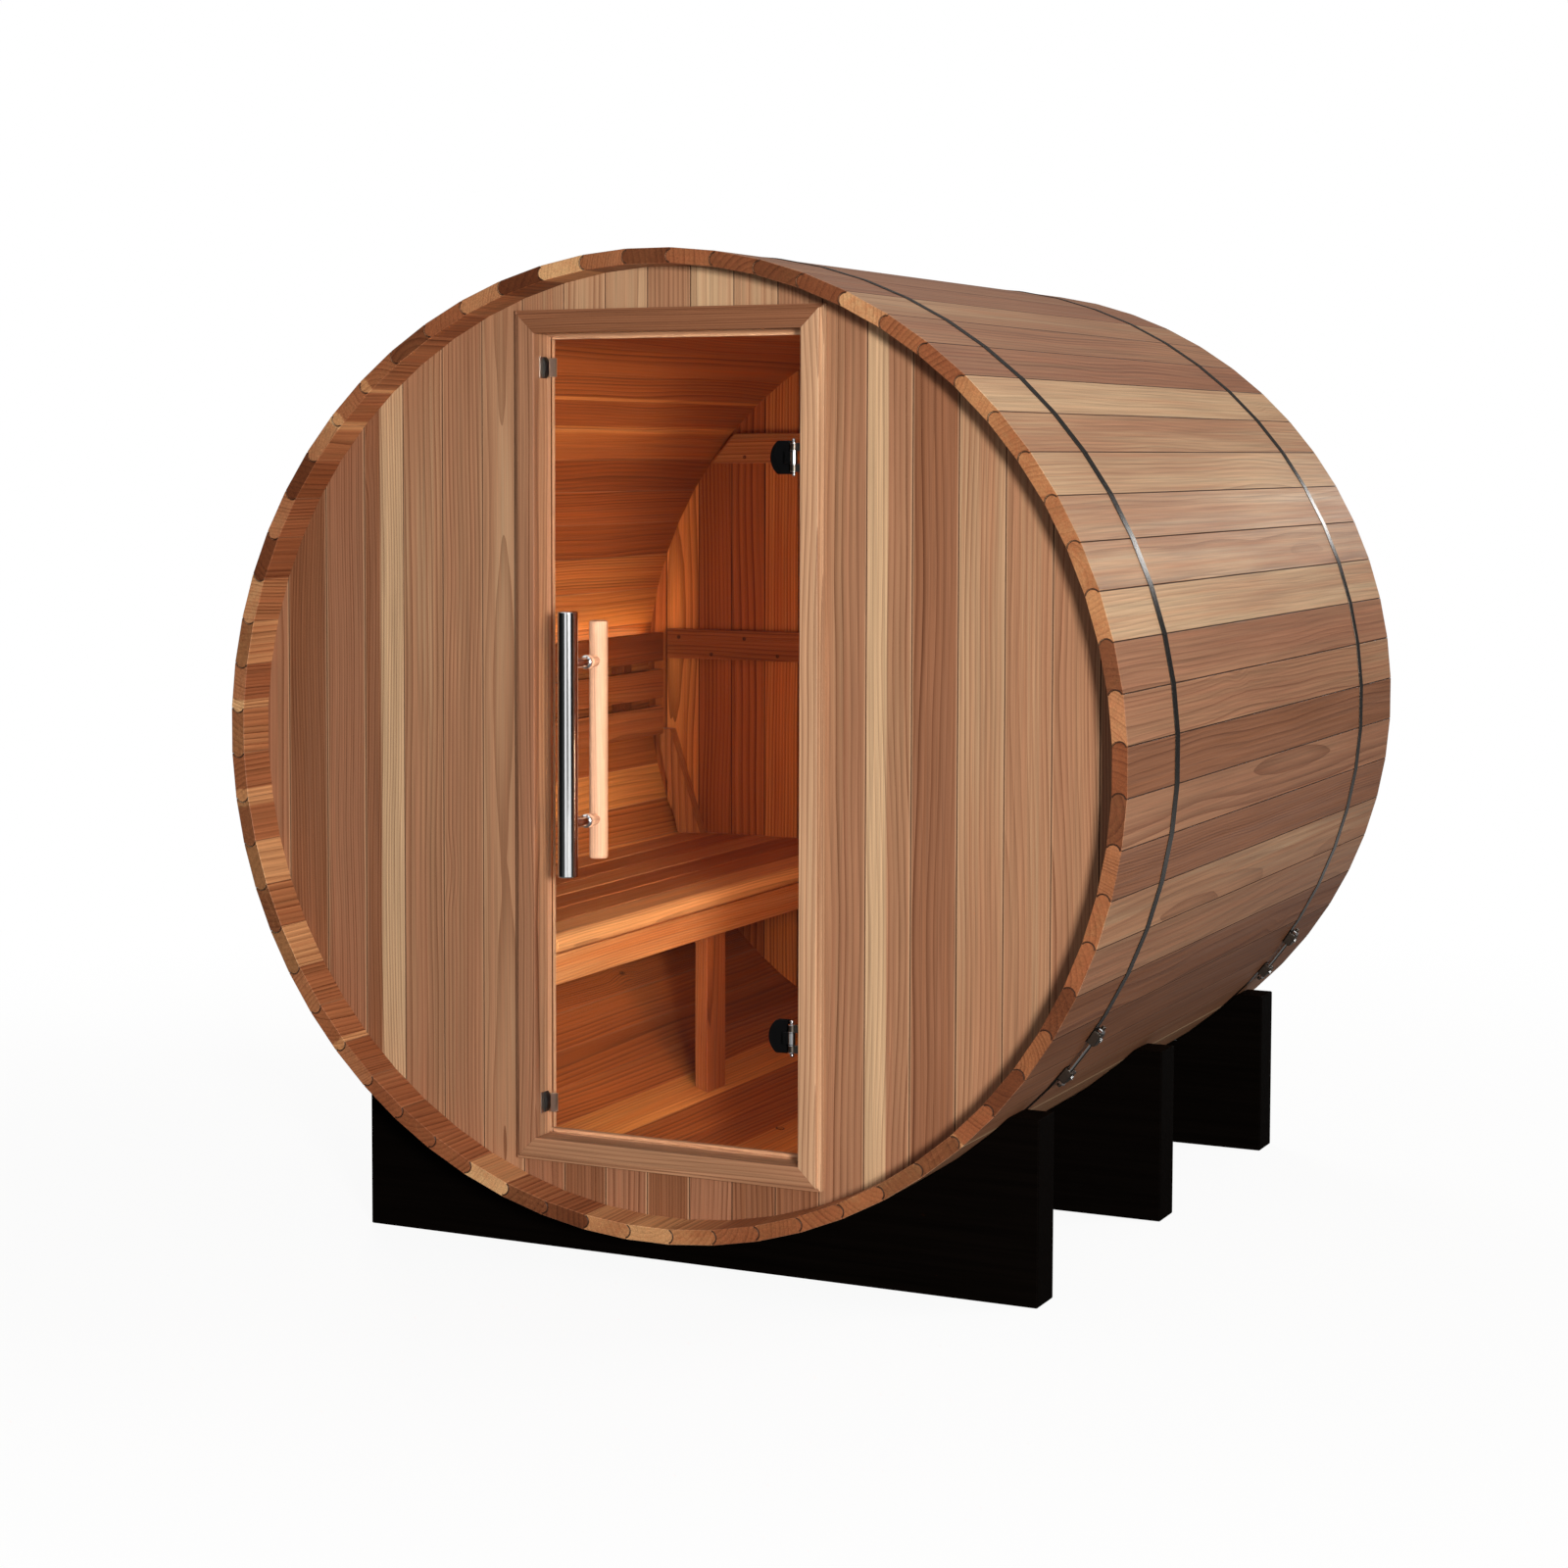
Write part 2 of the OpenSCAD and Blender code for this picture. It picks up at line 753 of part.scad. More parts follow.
module handle_tube() {
    color(chrome)
    translate([handle_x, tube_y, axis_z])
        difference() {
            cylinder(d = tube_d, h = tube_len, center = true);
            cylinder(d = tube_d - 2 * tube_wall, h = 2 * tube_len, center = true);
        }
}

module handle_caps() {
    cap_h = 4 * tube_wall;
    color(chrome)
    translate([handle_x, tube_y, axis_z])
        for (side = [0, 1])
            mirror([0, 0, side]) translate([0, 0, tube_len / 2 - cap_h])
                cylinder(d = tube_d - 2 * tube_wall - 2 * pin_play, h = cap_h);
}

module handle_posts() {
    color(chrome)
    at_posts()
        difference() {
            union() {
                bar_along_y(post_d, tube_y, glass_y - handle_play);
                bar_along_y(collar_d, glass_y - handle_play - collar_t, glass_y - handle_play);
                bar_along_y(stud_d, glass_y - eps, bar_y - bar_d / 2);
            }
            translate([0, tube_y, 0])
                cylinder(d = tube_d + 2 * handle_play, h = 2 * collar_d, center = true);
        }
}

module handle_pegs() {
    color(pale_cedar)
    at_posts()
        difference() {
            bar_along_y(collar_d, glass_back + handle_play, bar_y);
            translate([0, bar_y, 0]) cylinder(d = bar_d + 2 * handle_play, h = 2 * collar_d, center = true);
            bar_along_y(stud_d + 2 * handle_play, glass_y, bar_y);
        }
}

module handle_bar() {
    color(pale_cedar)
    translate([handle_x, bar_y, axis_z])
        difference() {
            cylinder(d = bar_d, h = bar_len, center = true);
            for (side = [-1, 1])
                translate([0, 0, side * post_pitch / 2])
                    bar_along_y(stud_d + 2 * handle_play, -bar_d, -bar_d / 4);
        }
}

module bench_planks() {
    color(red_cedar) {
        plank(-bench_front - front_plank_w, -bench_front, true);
        for (i = [0:plank_count - 1]) {
            x1 = -bench_front - front_plank_w - plank_gap - i * (back_plank_w + plank_gap);
            plank(x1 - back_plank_w, x1, false);
        }
    }
}

module bench_apron() {
    color(red_cedar)
    translate([apron_x - timber_t, bench_y0, bench_under - apron_h])
        cube([timber_t, bench_y1 - bench_y0, apron_h]);
}

module bench_bearers() {
    front = apron_x - timber_t;
    back = stave_x(bench_under - bearer_h) - bench_play;
    color(red_cedar)
    for (y = bearer_ys)
        translate([-back, y - timber_t / 2, bench_under - bearer_h])
            cube([front + back, timber_t, bearer_h]);
}

module bench_leg() {
    x0 = -bench_front - leg_set - leg_t;
    color(red_cedar)
    difference() {
        translate([x0, leg_y, axis_z - r_in])
            cube([leg_t, leg_w, bench_under - bearer_h - axis_z + r_in]);
        translate([0, 0, axis_z]) rotate([-90, 0, 0])
            difference() {
                cylinder(r = 2 * r_corner, h = barrel_len, center = true);
                cylinder(r = r_in - foot_play, h = 2 * barrel_len, center = true);
            }
    }
}

module backrest_slats() {
    color(red_cedar)
    for (i = [0:slat_count - 1])
        translate([-slat_back, slat_y0, slat_z0 + i * slat_pitch])
            cube([slat_t, slat_y1 - slat_y0, slat_h]);
}

module backrest_brackets() {
    color(red_cedar) {
        for (y = support_ys)
            translate([0, y, 0]) support();
        for (y = cleat_ys)
            translate([0, y, 0]) cleat();
    }
}

module light_bar() {
    color("wheat")
    translate([-slat_back - light_w, slat_y0, cleat_top])
        cube([light_w, slat_y1 - slat_y0, light_h]);
}

module rear_battens() {
    half_len = slat_face - bench_play;
    color(red_cedar)
    translate([0, rear_wall_y - batten_t, axis_z])
        for (z = [batten_lower_z, batten_upper_z])
            intersection() {
                translate([-half_len, 0, z - batten_h / 2]) cube([2 * half_len, batten_t, batten_h]);
                translate([0, -eps, 0]) rotate([-90, 0, 0])
                    cylinder(r = r_in - batten_gap, h = batten_t + 2 * eps);
            }
}

cradle_front();
cradle_middle();
cradle_rear();
staves_top();
staves_top_left();
staves_left();
staves_bottom_left();
staves_bottom();
staves_bottom_right();
staves_right();
staves_top_right();
band_front();
band_rear();
tensioner_front();
tensioner_rear();
front_wall_left();
front_wall_right();
front_wall_header();
front_wall_sill();
rear_wall();
door_jambs();
door_trim();
hinge_leaves();
hinge_pins();
catch_plates();
catch_bumpers();
bench_planks();
bench_apron();
bench_bearers();
bench_leg();
backrest_slats();
backrest_brackets();
light_bar();
rear_battens();
door_glass();
hinge_clamps();
hinge_backplates();
strike_clips();
handle_tube();
handle_caps();
handle_posts();
handle_pegs();
handle_bar();
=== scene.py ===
"""Barrel sauna: beaded cedar staves, board walls, a glass door and a lit cabin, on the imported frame."""

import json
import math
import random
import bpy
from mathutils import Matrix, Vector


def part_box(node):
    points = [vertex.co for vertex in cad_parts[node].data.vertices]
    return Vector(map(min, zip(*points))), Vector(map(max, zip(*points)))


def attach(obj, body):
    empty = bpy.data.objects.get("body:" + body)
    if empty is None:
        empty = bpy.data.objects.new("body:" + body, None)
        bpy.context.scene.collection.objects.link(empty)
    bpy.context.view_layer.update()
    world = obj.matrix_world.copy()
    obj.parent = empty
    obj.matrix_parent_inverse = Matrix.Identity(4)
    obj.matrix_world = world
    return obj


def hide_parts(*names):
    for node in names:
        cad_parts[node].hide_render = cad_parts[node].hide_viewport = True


bl_info = {
    "name": "Barrel Sauna",
    "version": (1, 0, 0),
    "blender": (4, 5, 0),
    "location": "View3D > Sidebar > Sauna",
    "description": "Builds the boards, hardware, glass and studio of a barrel sauna",
    "category": "Object",
}

import bmesh
import bpy
from bpy.props import FloatProperty, FloatVectorProperty, IntProperty, PointerProperty
from mathutils import Matrix, Vector

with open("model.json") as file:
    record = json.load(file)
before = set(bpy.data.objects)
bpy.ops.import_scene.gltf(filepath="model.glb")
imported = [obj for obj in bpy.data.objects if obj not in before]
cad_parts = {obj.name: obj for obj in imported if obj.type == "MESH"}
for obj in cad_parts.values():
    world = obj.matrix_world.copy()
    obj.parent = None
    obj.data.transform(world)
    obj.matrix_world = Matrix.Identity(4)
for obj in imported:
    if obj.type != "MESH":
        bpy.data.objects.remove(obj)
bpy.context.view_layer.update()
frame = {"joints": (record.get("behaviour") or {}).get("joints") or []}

CABIN = "cabin_body"
DOOR = "door"
STAVE_NODES = (
    "staves_top", "staves_top_left", "staves_left", "staves_bottom_left",
    "staves_bottom", "staves_bottom_right", "staves_right", "staves_top_right",
)


def box(*nodes):
    """Lowest and highest corner of some CAD nodes together."""
    corners = [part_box(node) for node in nodes]
    low = Vector([min(pair[0][i] for pair in corners) for i in range(3)])
    high = Vector([max(pair[1][i] for pair in corners) for i in range(3)])
    return low, high


def srgb(red, green, blue):
    """Linear colour of a colour given in 0 to 255 steps as a screen shows it."""
    def linear(step):
        share = step / 255
        return share / 12.92 if share <= 0.04045 else ((share + 0.055) / 1.055) ** 2.4
    return (linear(red), linear(green), linear(blue))


BARREL_LOW, BARREL_HIGH = box(*STAVE_NODES)
AXIS_Z = (BARREL_HIGH.z + BARREL_LOW.z) / 2
R_OUT = BARREL_HIGH.z - AXIS_Z
FRONT_Y, REAR_Y = BARREL_LOW.y, BARREL_HIGH.y
WALL_Y = box("front_wall_left")[0].y
WALL_T = box("front_wall_left")[1].y - WALL_Y
REAR_WALL_Y = box("rear_wall")[0].y


def length_prop(name, text, value):
    return FloatProperty(name=name, description=text, default=value, unit="LENGTH", precision=4)


def power_prop(name, text, value):
    return FloatProperty(name=name, description=text, default=value, unit="POWER")


def colour_prop(name, text, value):
    return FloatVectorProperty(name=name, description=text, default=value, subtype="COLOR", min=0, max=1)


class SaunaTimber(bpy.types.PropertyGroup):
    """Sizes of the boards and their joints."""

    stave_count: IntProperty(name="Staves", description="Number of staves round the barrel", default=64)
    stave_t: length_prop("Stave thickness", "Thickness of a stave", 0.028)
    stave_gap: length_prop("Stave play", "Play between two staves", 0.0004)
    bead_r: length_prop("Bead radius", "Radius of the bead on a stave's edge", 0.0125)
    bead_h: length_prop("Bead height", "How far the bead stands out of the edge", 0.008)
    stave_ease: length_prop("Stave rounding", "Rounding of a stave's outer edges", 0.0017)
    croze: length_prop("Groove depth", "Depth of the groove that seats an end wall", 0.009)
    croze_play: length_prop("Groove play", "Play of an end wall in its groove", 0.0003)
    board_w: length_prop("Board width", "Width that one wall board covers", 0.0865)
    board_gap: length_prop("Board play", "Play between two wall boards", 0.0004)
    board_bevel: length_prop("Board bevel", "Width of the bevel on a wall board's edges", 0.0019)
    tongue: length_prop("Tongue", "Length and thickness of a wall board's tongue", 0.008)
    ease: length_prop("Edge rounding", "Rounding of the edges of loose timber", 0.0025)
    ring: length_prop("Ring width", "Width of one year's growth in the wood", 0.0052)


class SaunaColours(bpy.types.PropertyGroup):
    """Colours of the finishes."""

    pale: colour_prop("Sapwood", "Pale outer wood", srgb(206, 170, 132))
    tan: colour_prop("Tan cedar", "Usual board colour", srgb(170, 125, 93))
    rose: colour_prop("Rose cedar", "Pinkish board colour", srgb(156, 107, 79))
    brown: colour_prop("Brown cedar", "Darker board colour", srgb(134, 87, 59))
    deep: colour_prop("Deep cedar", "Darkest board colour", srgb(106, 63, 40))
    amber: colour_prop("Inside cedar", "Board colour inside the cabin", srgb(164, 88, 44))
    stain: colour_prop("Black stain", "Colour of the cradles", srgb(11, 7, 5))
    steel: colour_prop("Strip steel", "Colour of the bands", srgb(78, 68, 60))
    chrome: colour_prop("Bright metal", "Colour of the handle and hinges", srgb(226, 227, 228))
    black: colour_prop("Black plate", "Colour of the hinge plates", srgb(8, 8, 9))
    glass: colour_prop("Glass", "Colour of the door's glass", srgb(246, 250, 248))
    glow: colour_prop("Cabin light", "Colour of the light in the cabin", srgb(255, 224, 150))


class SaunaStage(bpy.types.PropertyGroup):
    """Camera, lamps and floor."""

    lens: FloatProperty(name="Lens", description="Focal length in millimetres", default=71.98)
    key_power: power_prop("Key lamp", "Power of the key lamp", 560.0)
    side_power: power_prop("Side lamp", "Power of the side lamp", 100.0)
    rim_power: power_prop("Rim lamp", "Power of the rim lamp", 14.0)
    back_power: power_prop("Back lamp", "Power of the lamp behind", 260.0)
    cabin_power: power_prop("Cabin lamp", "Power of the cabin lamp", 7.0)
    sky: FloatProperty(name="Room light", description="Strength of the light from all round", default=0.28)
    floor: colour_prop("Floor", "Colour of the floor", (0.95, 0.95, 0.95))
    bounce: colour_prop("Floor bounce", "Colour of the light that the floor throws back", (0.2, 0.2, 0.2))


def timber():
    return bpy.context.scene.sauna_timber


def colours():
    return bpy.context.scene.sauna_colours


# Meshes

def rounded(points, radius, steps=3):
    """Outline with each corner rounded. radius is one number or one for each corner."""
    radii = radius if isinstance(radius, (list, tuple)) else [radius] * len(points)
    outline = []
    for i, corner in enumerate(points):
        here = Vector(corner)
        if radii[i] <= 0:
            outline.append(tuple(here))
            continue
        back = (Vector(points[i - 1]) - here).normalized() * radii[i]
        ahead = (Vector(points[(i + 1) % len(points)]) - here).normalized() * radii[i]
        for step in range(steps + 1):
            t = step / steps
            outline.append(tuple(here + back * (1 - t) ** 2 + ahead * t ** 2))
    return outline


def rectangle(width, height, radius, steps=3):
    """Rounded rectangle round the origin."""
    x, y = width / 2, height / 2
    return rounded([(-x, -y), (x, -y), (x, y), (-x, y)], radius, steps)


def arc(centre, radius, start, end, steps):
    """Points of an arc, its angles in degrees."""
    return [
        (centre[0] + radius * math.cos(math.radians(a)), centre[1] + radius * math.sin(math.radians(a)))
        for a in (start + (end - start) * i / steps for i in range(steps + 1))
    ]


def turned(points, degrees):
    """Points turned about the origin."""
    c, s = math.cos(math.radians(degrees)), math.sin(math.radians(degrees))
    return [(c * x - s * y, s * x + c * y) for x, y in points]


def round_axes(angle):
    """Directions out from the barrel's axis and along its round, at an angle from the top in radians."""
    return Vector((math.sin(angle), 0, math.cos(angle))), Vector((math.cos(angle), 0, -math.sin(angle)))


def sleeve(bm, rings):
    """Joins rings of vertices by faces, one ring to the next."""
    for a, b in zip(rings, rings[1:]):
        for i in range(len(a)):
            bm.faces.new((a[i - 1], a[i], b[i], b[i - 1]))


def skin(bm, rings):
    """Joins rings of vertices into a shell with closed ends."""
    sleeve(bm, rings)
    bm.faces.new(list(reversed(rings[0])))
    bm.faces.new(rings[-1])


def lathe(bm, profile, base, axis, steps=32):
    """Turns a profile of (radius, height), which starts and ends on the axis, about an axis through base."""
    turn = Vector((0, 0, 1)).rotation_difference(Vector(axis)).to_matrix()
    base = Vector(base)
    ends = [bm.verts.new(base + turn @ Vector((0, 0, profile[i][1]))) for i in (0, -1)]
    angles = [2 * math.pi * i / steps for i in range(steps)]
    rings = [[bm.verts.new(base + turn @ Vector((radius * math.cos(a), radius * math.sin(a), height)))
              for a in angles] for radius, height in profile[1:-1]]
    sleeve(bm, rings)
    for i in range(steps):
        bm.faces.new((ends[0], rings[0][i], rings[0][i - 1]))
        bm.faces.new((ends[1], rings[-1][i - 1], rings[-1][i]))


def eased_rod(radius, length, ease):
    """Profile of a plain rod with rounded ends, for lathe."""
    steps = [(radius - ease + ease * math.sin(a), ease * (1 - math.cos(a)))
             for a in (math.pi / 2 * i / 4 for i in range(5))]
    far = [(r, length - h) for r, h in reversed(steps)]
    return [(0, 0)] + steps + far + [(0, length)]


def chamfered_rod(radius, length, chamfer):
    """Profile of a plain rod with chamfered ends, for lathe."""
    return [(0, 0), (radius - chamfer, 0), (radius, chamfer), (radius, length - chamfer),
            (radius - chamfer, length), (0, length)]


def eased_block(bm, low, high, ease, place=None):
    """Block between two corners with rounded edges. place, where given, puts each point in the frame."""
    low, high = Vector(low), Vector(high)
    mid, size = (low + high) / 2, high - low
    top = size.z / 2
    rings = []
    for height, inset in ((-top, ease), (-top + ease, 0), (top - ease, 0), (top, ease)):
        corner = max(ease - inset * 0.5, ease * 0.3)
        outline = rectangle(size.x - 2 * inset, size.y - 2 * inset, corner)
        spots = [mid + Vector((x, y, height)) for x, y in outline]
        rings.append([bm.verts.new(place(spot) if place else spot) for spot in spots])
    skin(bm, rings)


def outline_plate(bm, outline, place, thick, ease):
    """Flat plate with a rounded rim. The outline is in (x, y), and place puts (x, y, depth) in the frame."""
    middle = sum((Vector(p) for p in outline), Vector((0, 0))) / len(outline)
    span = max((Vector(p) - middle).length for p in outline)
    rings = []
    for depth, inset in ((0, ease), (ease * 0.35, ease * 0.3), (ease, 0),
                         (thick - ease, 0), (thick - ease * 0.35, ease * 0.3), (thick, ease)):
        share = 1 - inset / span
        rings.append([bm.verts.new(place(*(middle + (Vector(p) - middle) * share), depth)) for p in outline])
    skin(bm, rings)


NO_SAP = 1.2


class Timber:
    """Boards gathered into one mesh. Each vertex keeps its place in its own board as "grain", and the
    board's seed, tone and sapwood edge as "board"."""

    def __init__(self, seed):
        self.bm = bmesh.new()
        self.grain = self.bm.verts.layers.float_vector.new("grain")
        self.board = self.bm.verts.layers.float_vector.new("board")
        self.draw = random.Random(seed)

    def loft(self, rings, place, tone=None, sap=NO_SAP):
        """One board from rings of (across, deep, along)."""
        look = Vector((self.draw.uniform(0, 90), self.draw.random() if tone is None else tone, sap))
        rows = []
        for ring in rings:
            row = []
            for spot in ring:
                vert = self.bm.verts.new(place(*spot))
                vert[self.grain] = spot
                vert[self.board] = look
                row.append(vert)
            rows.append(row)
        skin(self.bm, rows)

    def run(self, section, start, end, place, **look):
        """Board of one section, its two ends given as functions of the place across."""
        self.loft([[(u, v, cut(u)) for u, v in section] for cut in (start, end)], place, **look)

    def plank(self, low, high, along, section=None, **look):
        """Board between two corners with eased edges, its grain along one axis."""
        low, high = Vector(low), Vector(high)
        mid, size = (low + high) / 2, high - low
        across, deep = [i for i in range(3) if i != along]
        ease = min(timber().ease, size[across] / 4, size[deep] / 4)
        outline = section or rectangle(size[across], size[deep], ease)
        shrink = (1 - 1.4 * ease / size[across], 1 - 1.4 * ease / size[deep])
        half = size[along] / 2
        rings = []
        for w, small in ((-half, True), (-half + ease, False), (half - ease, False), (half, True)):
            sx, sy = shrink if small else (1, 1)
            rings.append([(u * sx, v * sy, w) for u, v in outline])

        def place(u, v, w):
            spot = [0, 0, 0]
            spot[across], spot[deep], spot[along] = mid[across] + u, mid[deep] + v, mid[along] + w
            return Vector(spot)

        self.loft(rings, place, **look)

    def piece(self, name, finish, slot, nodes, body=CABIN):
        return finished(name, self.bm, finish, body, nodes)


def mesh_from(bm, name):
    """Closed mesh with its faces outwards."""
    bmesh.ops.recalc_face_normals(bm, faces=bm.faces)
    mesh = bpy.data.meshes.new(name)
    bm.to_mesh(mesh)
    bm.free()
    return mesh


def baked(piece):
    """Turns an object's modifiers into its plain mesh."""
    bpy.context.view_layer.update()
    seen = piece.evaluated_get(bpy.context.evaluated_depsgraph_get())
    mesh = bpy.data.meshes.new_from_object(seen, preserve_all_data_layers=True,
                                           depsgraph=bpy.context.evaluated_depsgraph_get())
    piece.modifiers.clear()
    old = piece.data
    piece.data = mesh
    mesh.name = old.name
    bpy.data.meshes.remove(old)
    return mesh


def soften(piece, angle):
    """Smooth faces with true flats: sharp edges by angle and normals weighted by area."""
    for face in piece.data.polygons:
        face.use_smooth = True
    piece.data.set_sharp_from_angle(angle=math.radians(angle))
    weigh = piece.modifiers.new("flats", "WEIGHTED_NORMAL")
    weigh.keep_sharp = True
    weigh.weight = 60
    baked(piece)


def placed(name, mesh):
    piece = bpy.data.objects.new(name, mesh)
    bpy.context.scene.collection.objects.link(piece)
    return piece


def finished(name, shape, finish, body, nodes=(), angle=40, bevel=0.0):
    """Makes a piece of a mesh or bmesh, gives it its finish by name and sets it on its body."""
    mesh = mesh_from(shape, name) if isinstance(shape, bmesh.types.BMesh) else shape
    mesh.materials.clear()
    mesh.materials.append(FINISHES[finish])
    piece = placed(name, mesh)
    if bevel:
        round_off = piece.modifiers.new("rounding", "BEVEL")
        round_off.width = bevel
        round_off.segments = 3
        round_off.limit_method = "ANGLE"
        round_off.angle_limit = math.radians(35)
        baked(piece)
    soften(piece, angle)
    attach(piece, body)
    if nodes:
        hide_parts(*nodes)
    return piece


def discard(helper):
    """Removes a helper object and its mesh."""
    shape = helper.data
    bpy.data.objects.remove(helper)
    bpy.data.meshes.remove(shape)


def carved(piece, tools):
    """Cuts the tools' shapes out of a piece."""
    for tool in tools:
        cut = piece.modifiers.new("cut", "BOOLEAN")
        cut.operation = "DIFFERENCE"
        cut.solver = "EXACT"
        cut.object = tool
    baked(piece)
    for tool in tools:
        discard(tool)


def block_tool(low, high):
    bm = bmesh.new()
    bmesh.ops.create_cube(bm, size=1)
    low, high = Vector(low), Vector(high)
    for vert in bm.verts:
        vert.co = (low + high) / 2 + Vector([vert.co[i] * (high - low)[i] for i in range(3)])
    return placed("tool", mesh_from(bm, "tool"))


def rod_tool(base, axis, radius, length):
    bm = bmesh.new()
    lathe(bm, [(0, 0), (radius, 0), (radius, length), (0, length)], base, axis, 32)
    return placed("tool", mesh_from(bm, "tool"))


# Finishes

def bead_centre(sign):
    """Centre of a stave's bead (sign 1) or cove (sign -1), from the middle of the stave's section."""
    t = timber()
    r_mid = R_OUT - t.stave_t / 2
    x, y = turned([(t.bead_r - t.bead_h, r_mid)], sign * 180 / t.stave_count)[0]
    return x, y - r_mid


class Finish:
    """A material, or the world's light, built up from nodes."""

    def __init__(self, name, world=None):
        self.material = world or bpy.data.materials.new(name)
        self.material.use_nodes = True
        self.tree = self.material.node_tree
        self.shader = self.tree.nodes["Background" if world else "Principled BSDF"]

    def feed(self, socket, value):
        if isinstance(value, bpy.types.NodeSocket):
            self.tree.links.new(value, socket)
        elif hasattr(socket.default_value, "__len__") and len(socket.default_value) == 4 and len(value) == 3:
            socket.default_value = (*value, 1)
        else:
            socket.default_value = value

    def node(self, kind, inputs=(), **settings):
        made = self.tree.nodes.new(kind)
        for key, value in settings.items():
            setattr(made, key, value)
        for socket, value in dict(inputs).items():
            self.feed(made.inputs[socket], value)
        return made

    def set(self, **values):
        """Sets the shader's own sockets: an underscore stands for a space."""
        for key, value in values.items():
            self.feed(self.shader.inputs[key.replace("_", " ")], value)

    def math(self, operation, *values):
        return self.node("ShaderNodeMath", enumerate(values), operation=operation).outputs[0]

    def times(self, a, b):
        return self.math("MULTIPLY", a, b)

    def scaled(self, value, factor, offset):
        return self.math("MULTIPLY_ADD", value, factor, offset)

    def less(self, a, b):
        return self.math("SUBTRACT", a, b)

    def over(self, value, limit):
        return self.math("GREATER_THAN", value, limit)

    def under(self, value, limit):
        return self.math("LESS_THAN", value, limit)

    def vector(self, x, y, z):
        return self.node("ShaderNodeCombineXYZ", {0: x, 1: y, 2: z}).outputs[0]

    def split(self, vector):
        return self.node("ShaderNodeSeparateXYZ", {0: vector}).outputs

    def stored(self, name):
        return self.node("ShaderNodeAttribute", attribute_name=name).outputs["Vector"]

    def place(self, which="Object"):
        return self.node("ShaderNodeTexCoord").outputs[which]

    def drawn_out(self, *scales):
        """Place on the object, with its own scale along each axis."""
        return self.vector(*[self.times(way, scale) for way, scale in zip(self.split(self.place()), scales)])

    def noise(self, vector, scale=1.0, detail=2.0, roughness=0.5):
        return self.node("ShaderNodeTexNoise", {
            "Vector": vector, "Scale": scale, "Detail": detail, "Roughness": roughness}).outputs[0]

    def chance(self, number):
        return self.node("ShaderNodeTexWhiteNoise", {"W": number}, noise_dimensions="1D")

    def span(self, value, low, high, to_low=0.0, to_high=1.0):
        return self.node("ShaderNodeMapRange", {
            0: value, 1: low, 2: high, 3: to_low, 4: to_high}, interpolation_type="SMOOTHSTEP").outputs[0]

    def mix(self, share, a, b, blend="MIX"):
        made = self.node("ShaderNodeMix", data_type="RGBA", blend_type=blend)
        self.feed(made.inputs[0], share)
        self.feed(made.inputs[6], a)
        self.feed(made.inputs[7], b)
        return made.outputs[2]

    def tinted(self, colour, tint):
        return self.mix(1.0, colour, tint, "MULTIPLY")

    def ramp(self, value, stops):
        made = self.node("ShaderNodeValToRGB", {0: value})
        points = made.color_ramp.elements
        while len(points) < len(stops):
            points.new(0.5)
        for point, (position, colour) in zip(points, stops):
            point.position = position
            point.color = (*colour, 1)
        return made.outputs[0]

    def brightness(self, colour, value):
        return self.node("ShaderNodeHueSaturation", {"Color": colour, "Value": value}).outputs[0]

    def bump(self, height, strength, distance):
        made = self.node("ShaderNodeBump", {"Height": height, "Strength": strength, "Distance": distance})
        self.set(Normal=made.outputs[0])


KNOT_BROWN = srgb(58, 30, 18)
SEAM_BROWN = srgb(40, 20, 11)
JOINT_BROWN = srgb(48, 25, 14)
# Pale tan of the painted highlight along the boards' edges, where an eased edge would catch the light.
EDGE_HIGHLIGHT_TAN = srgb(210, 164, 126)


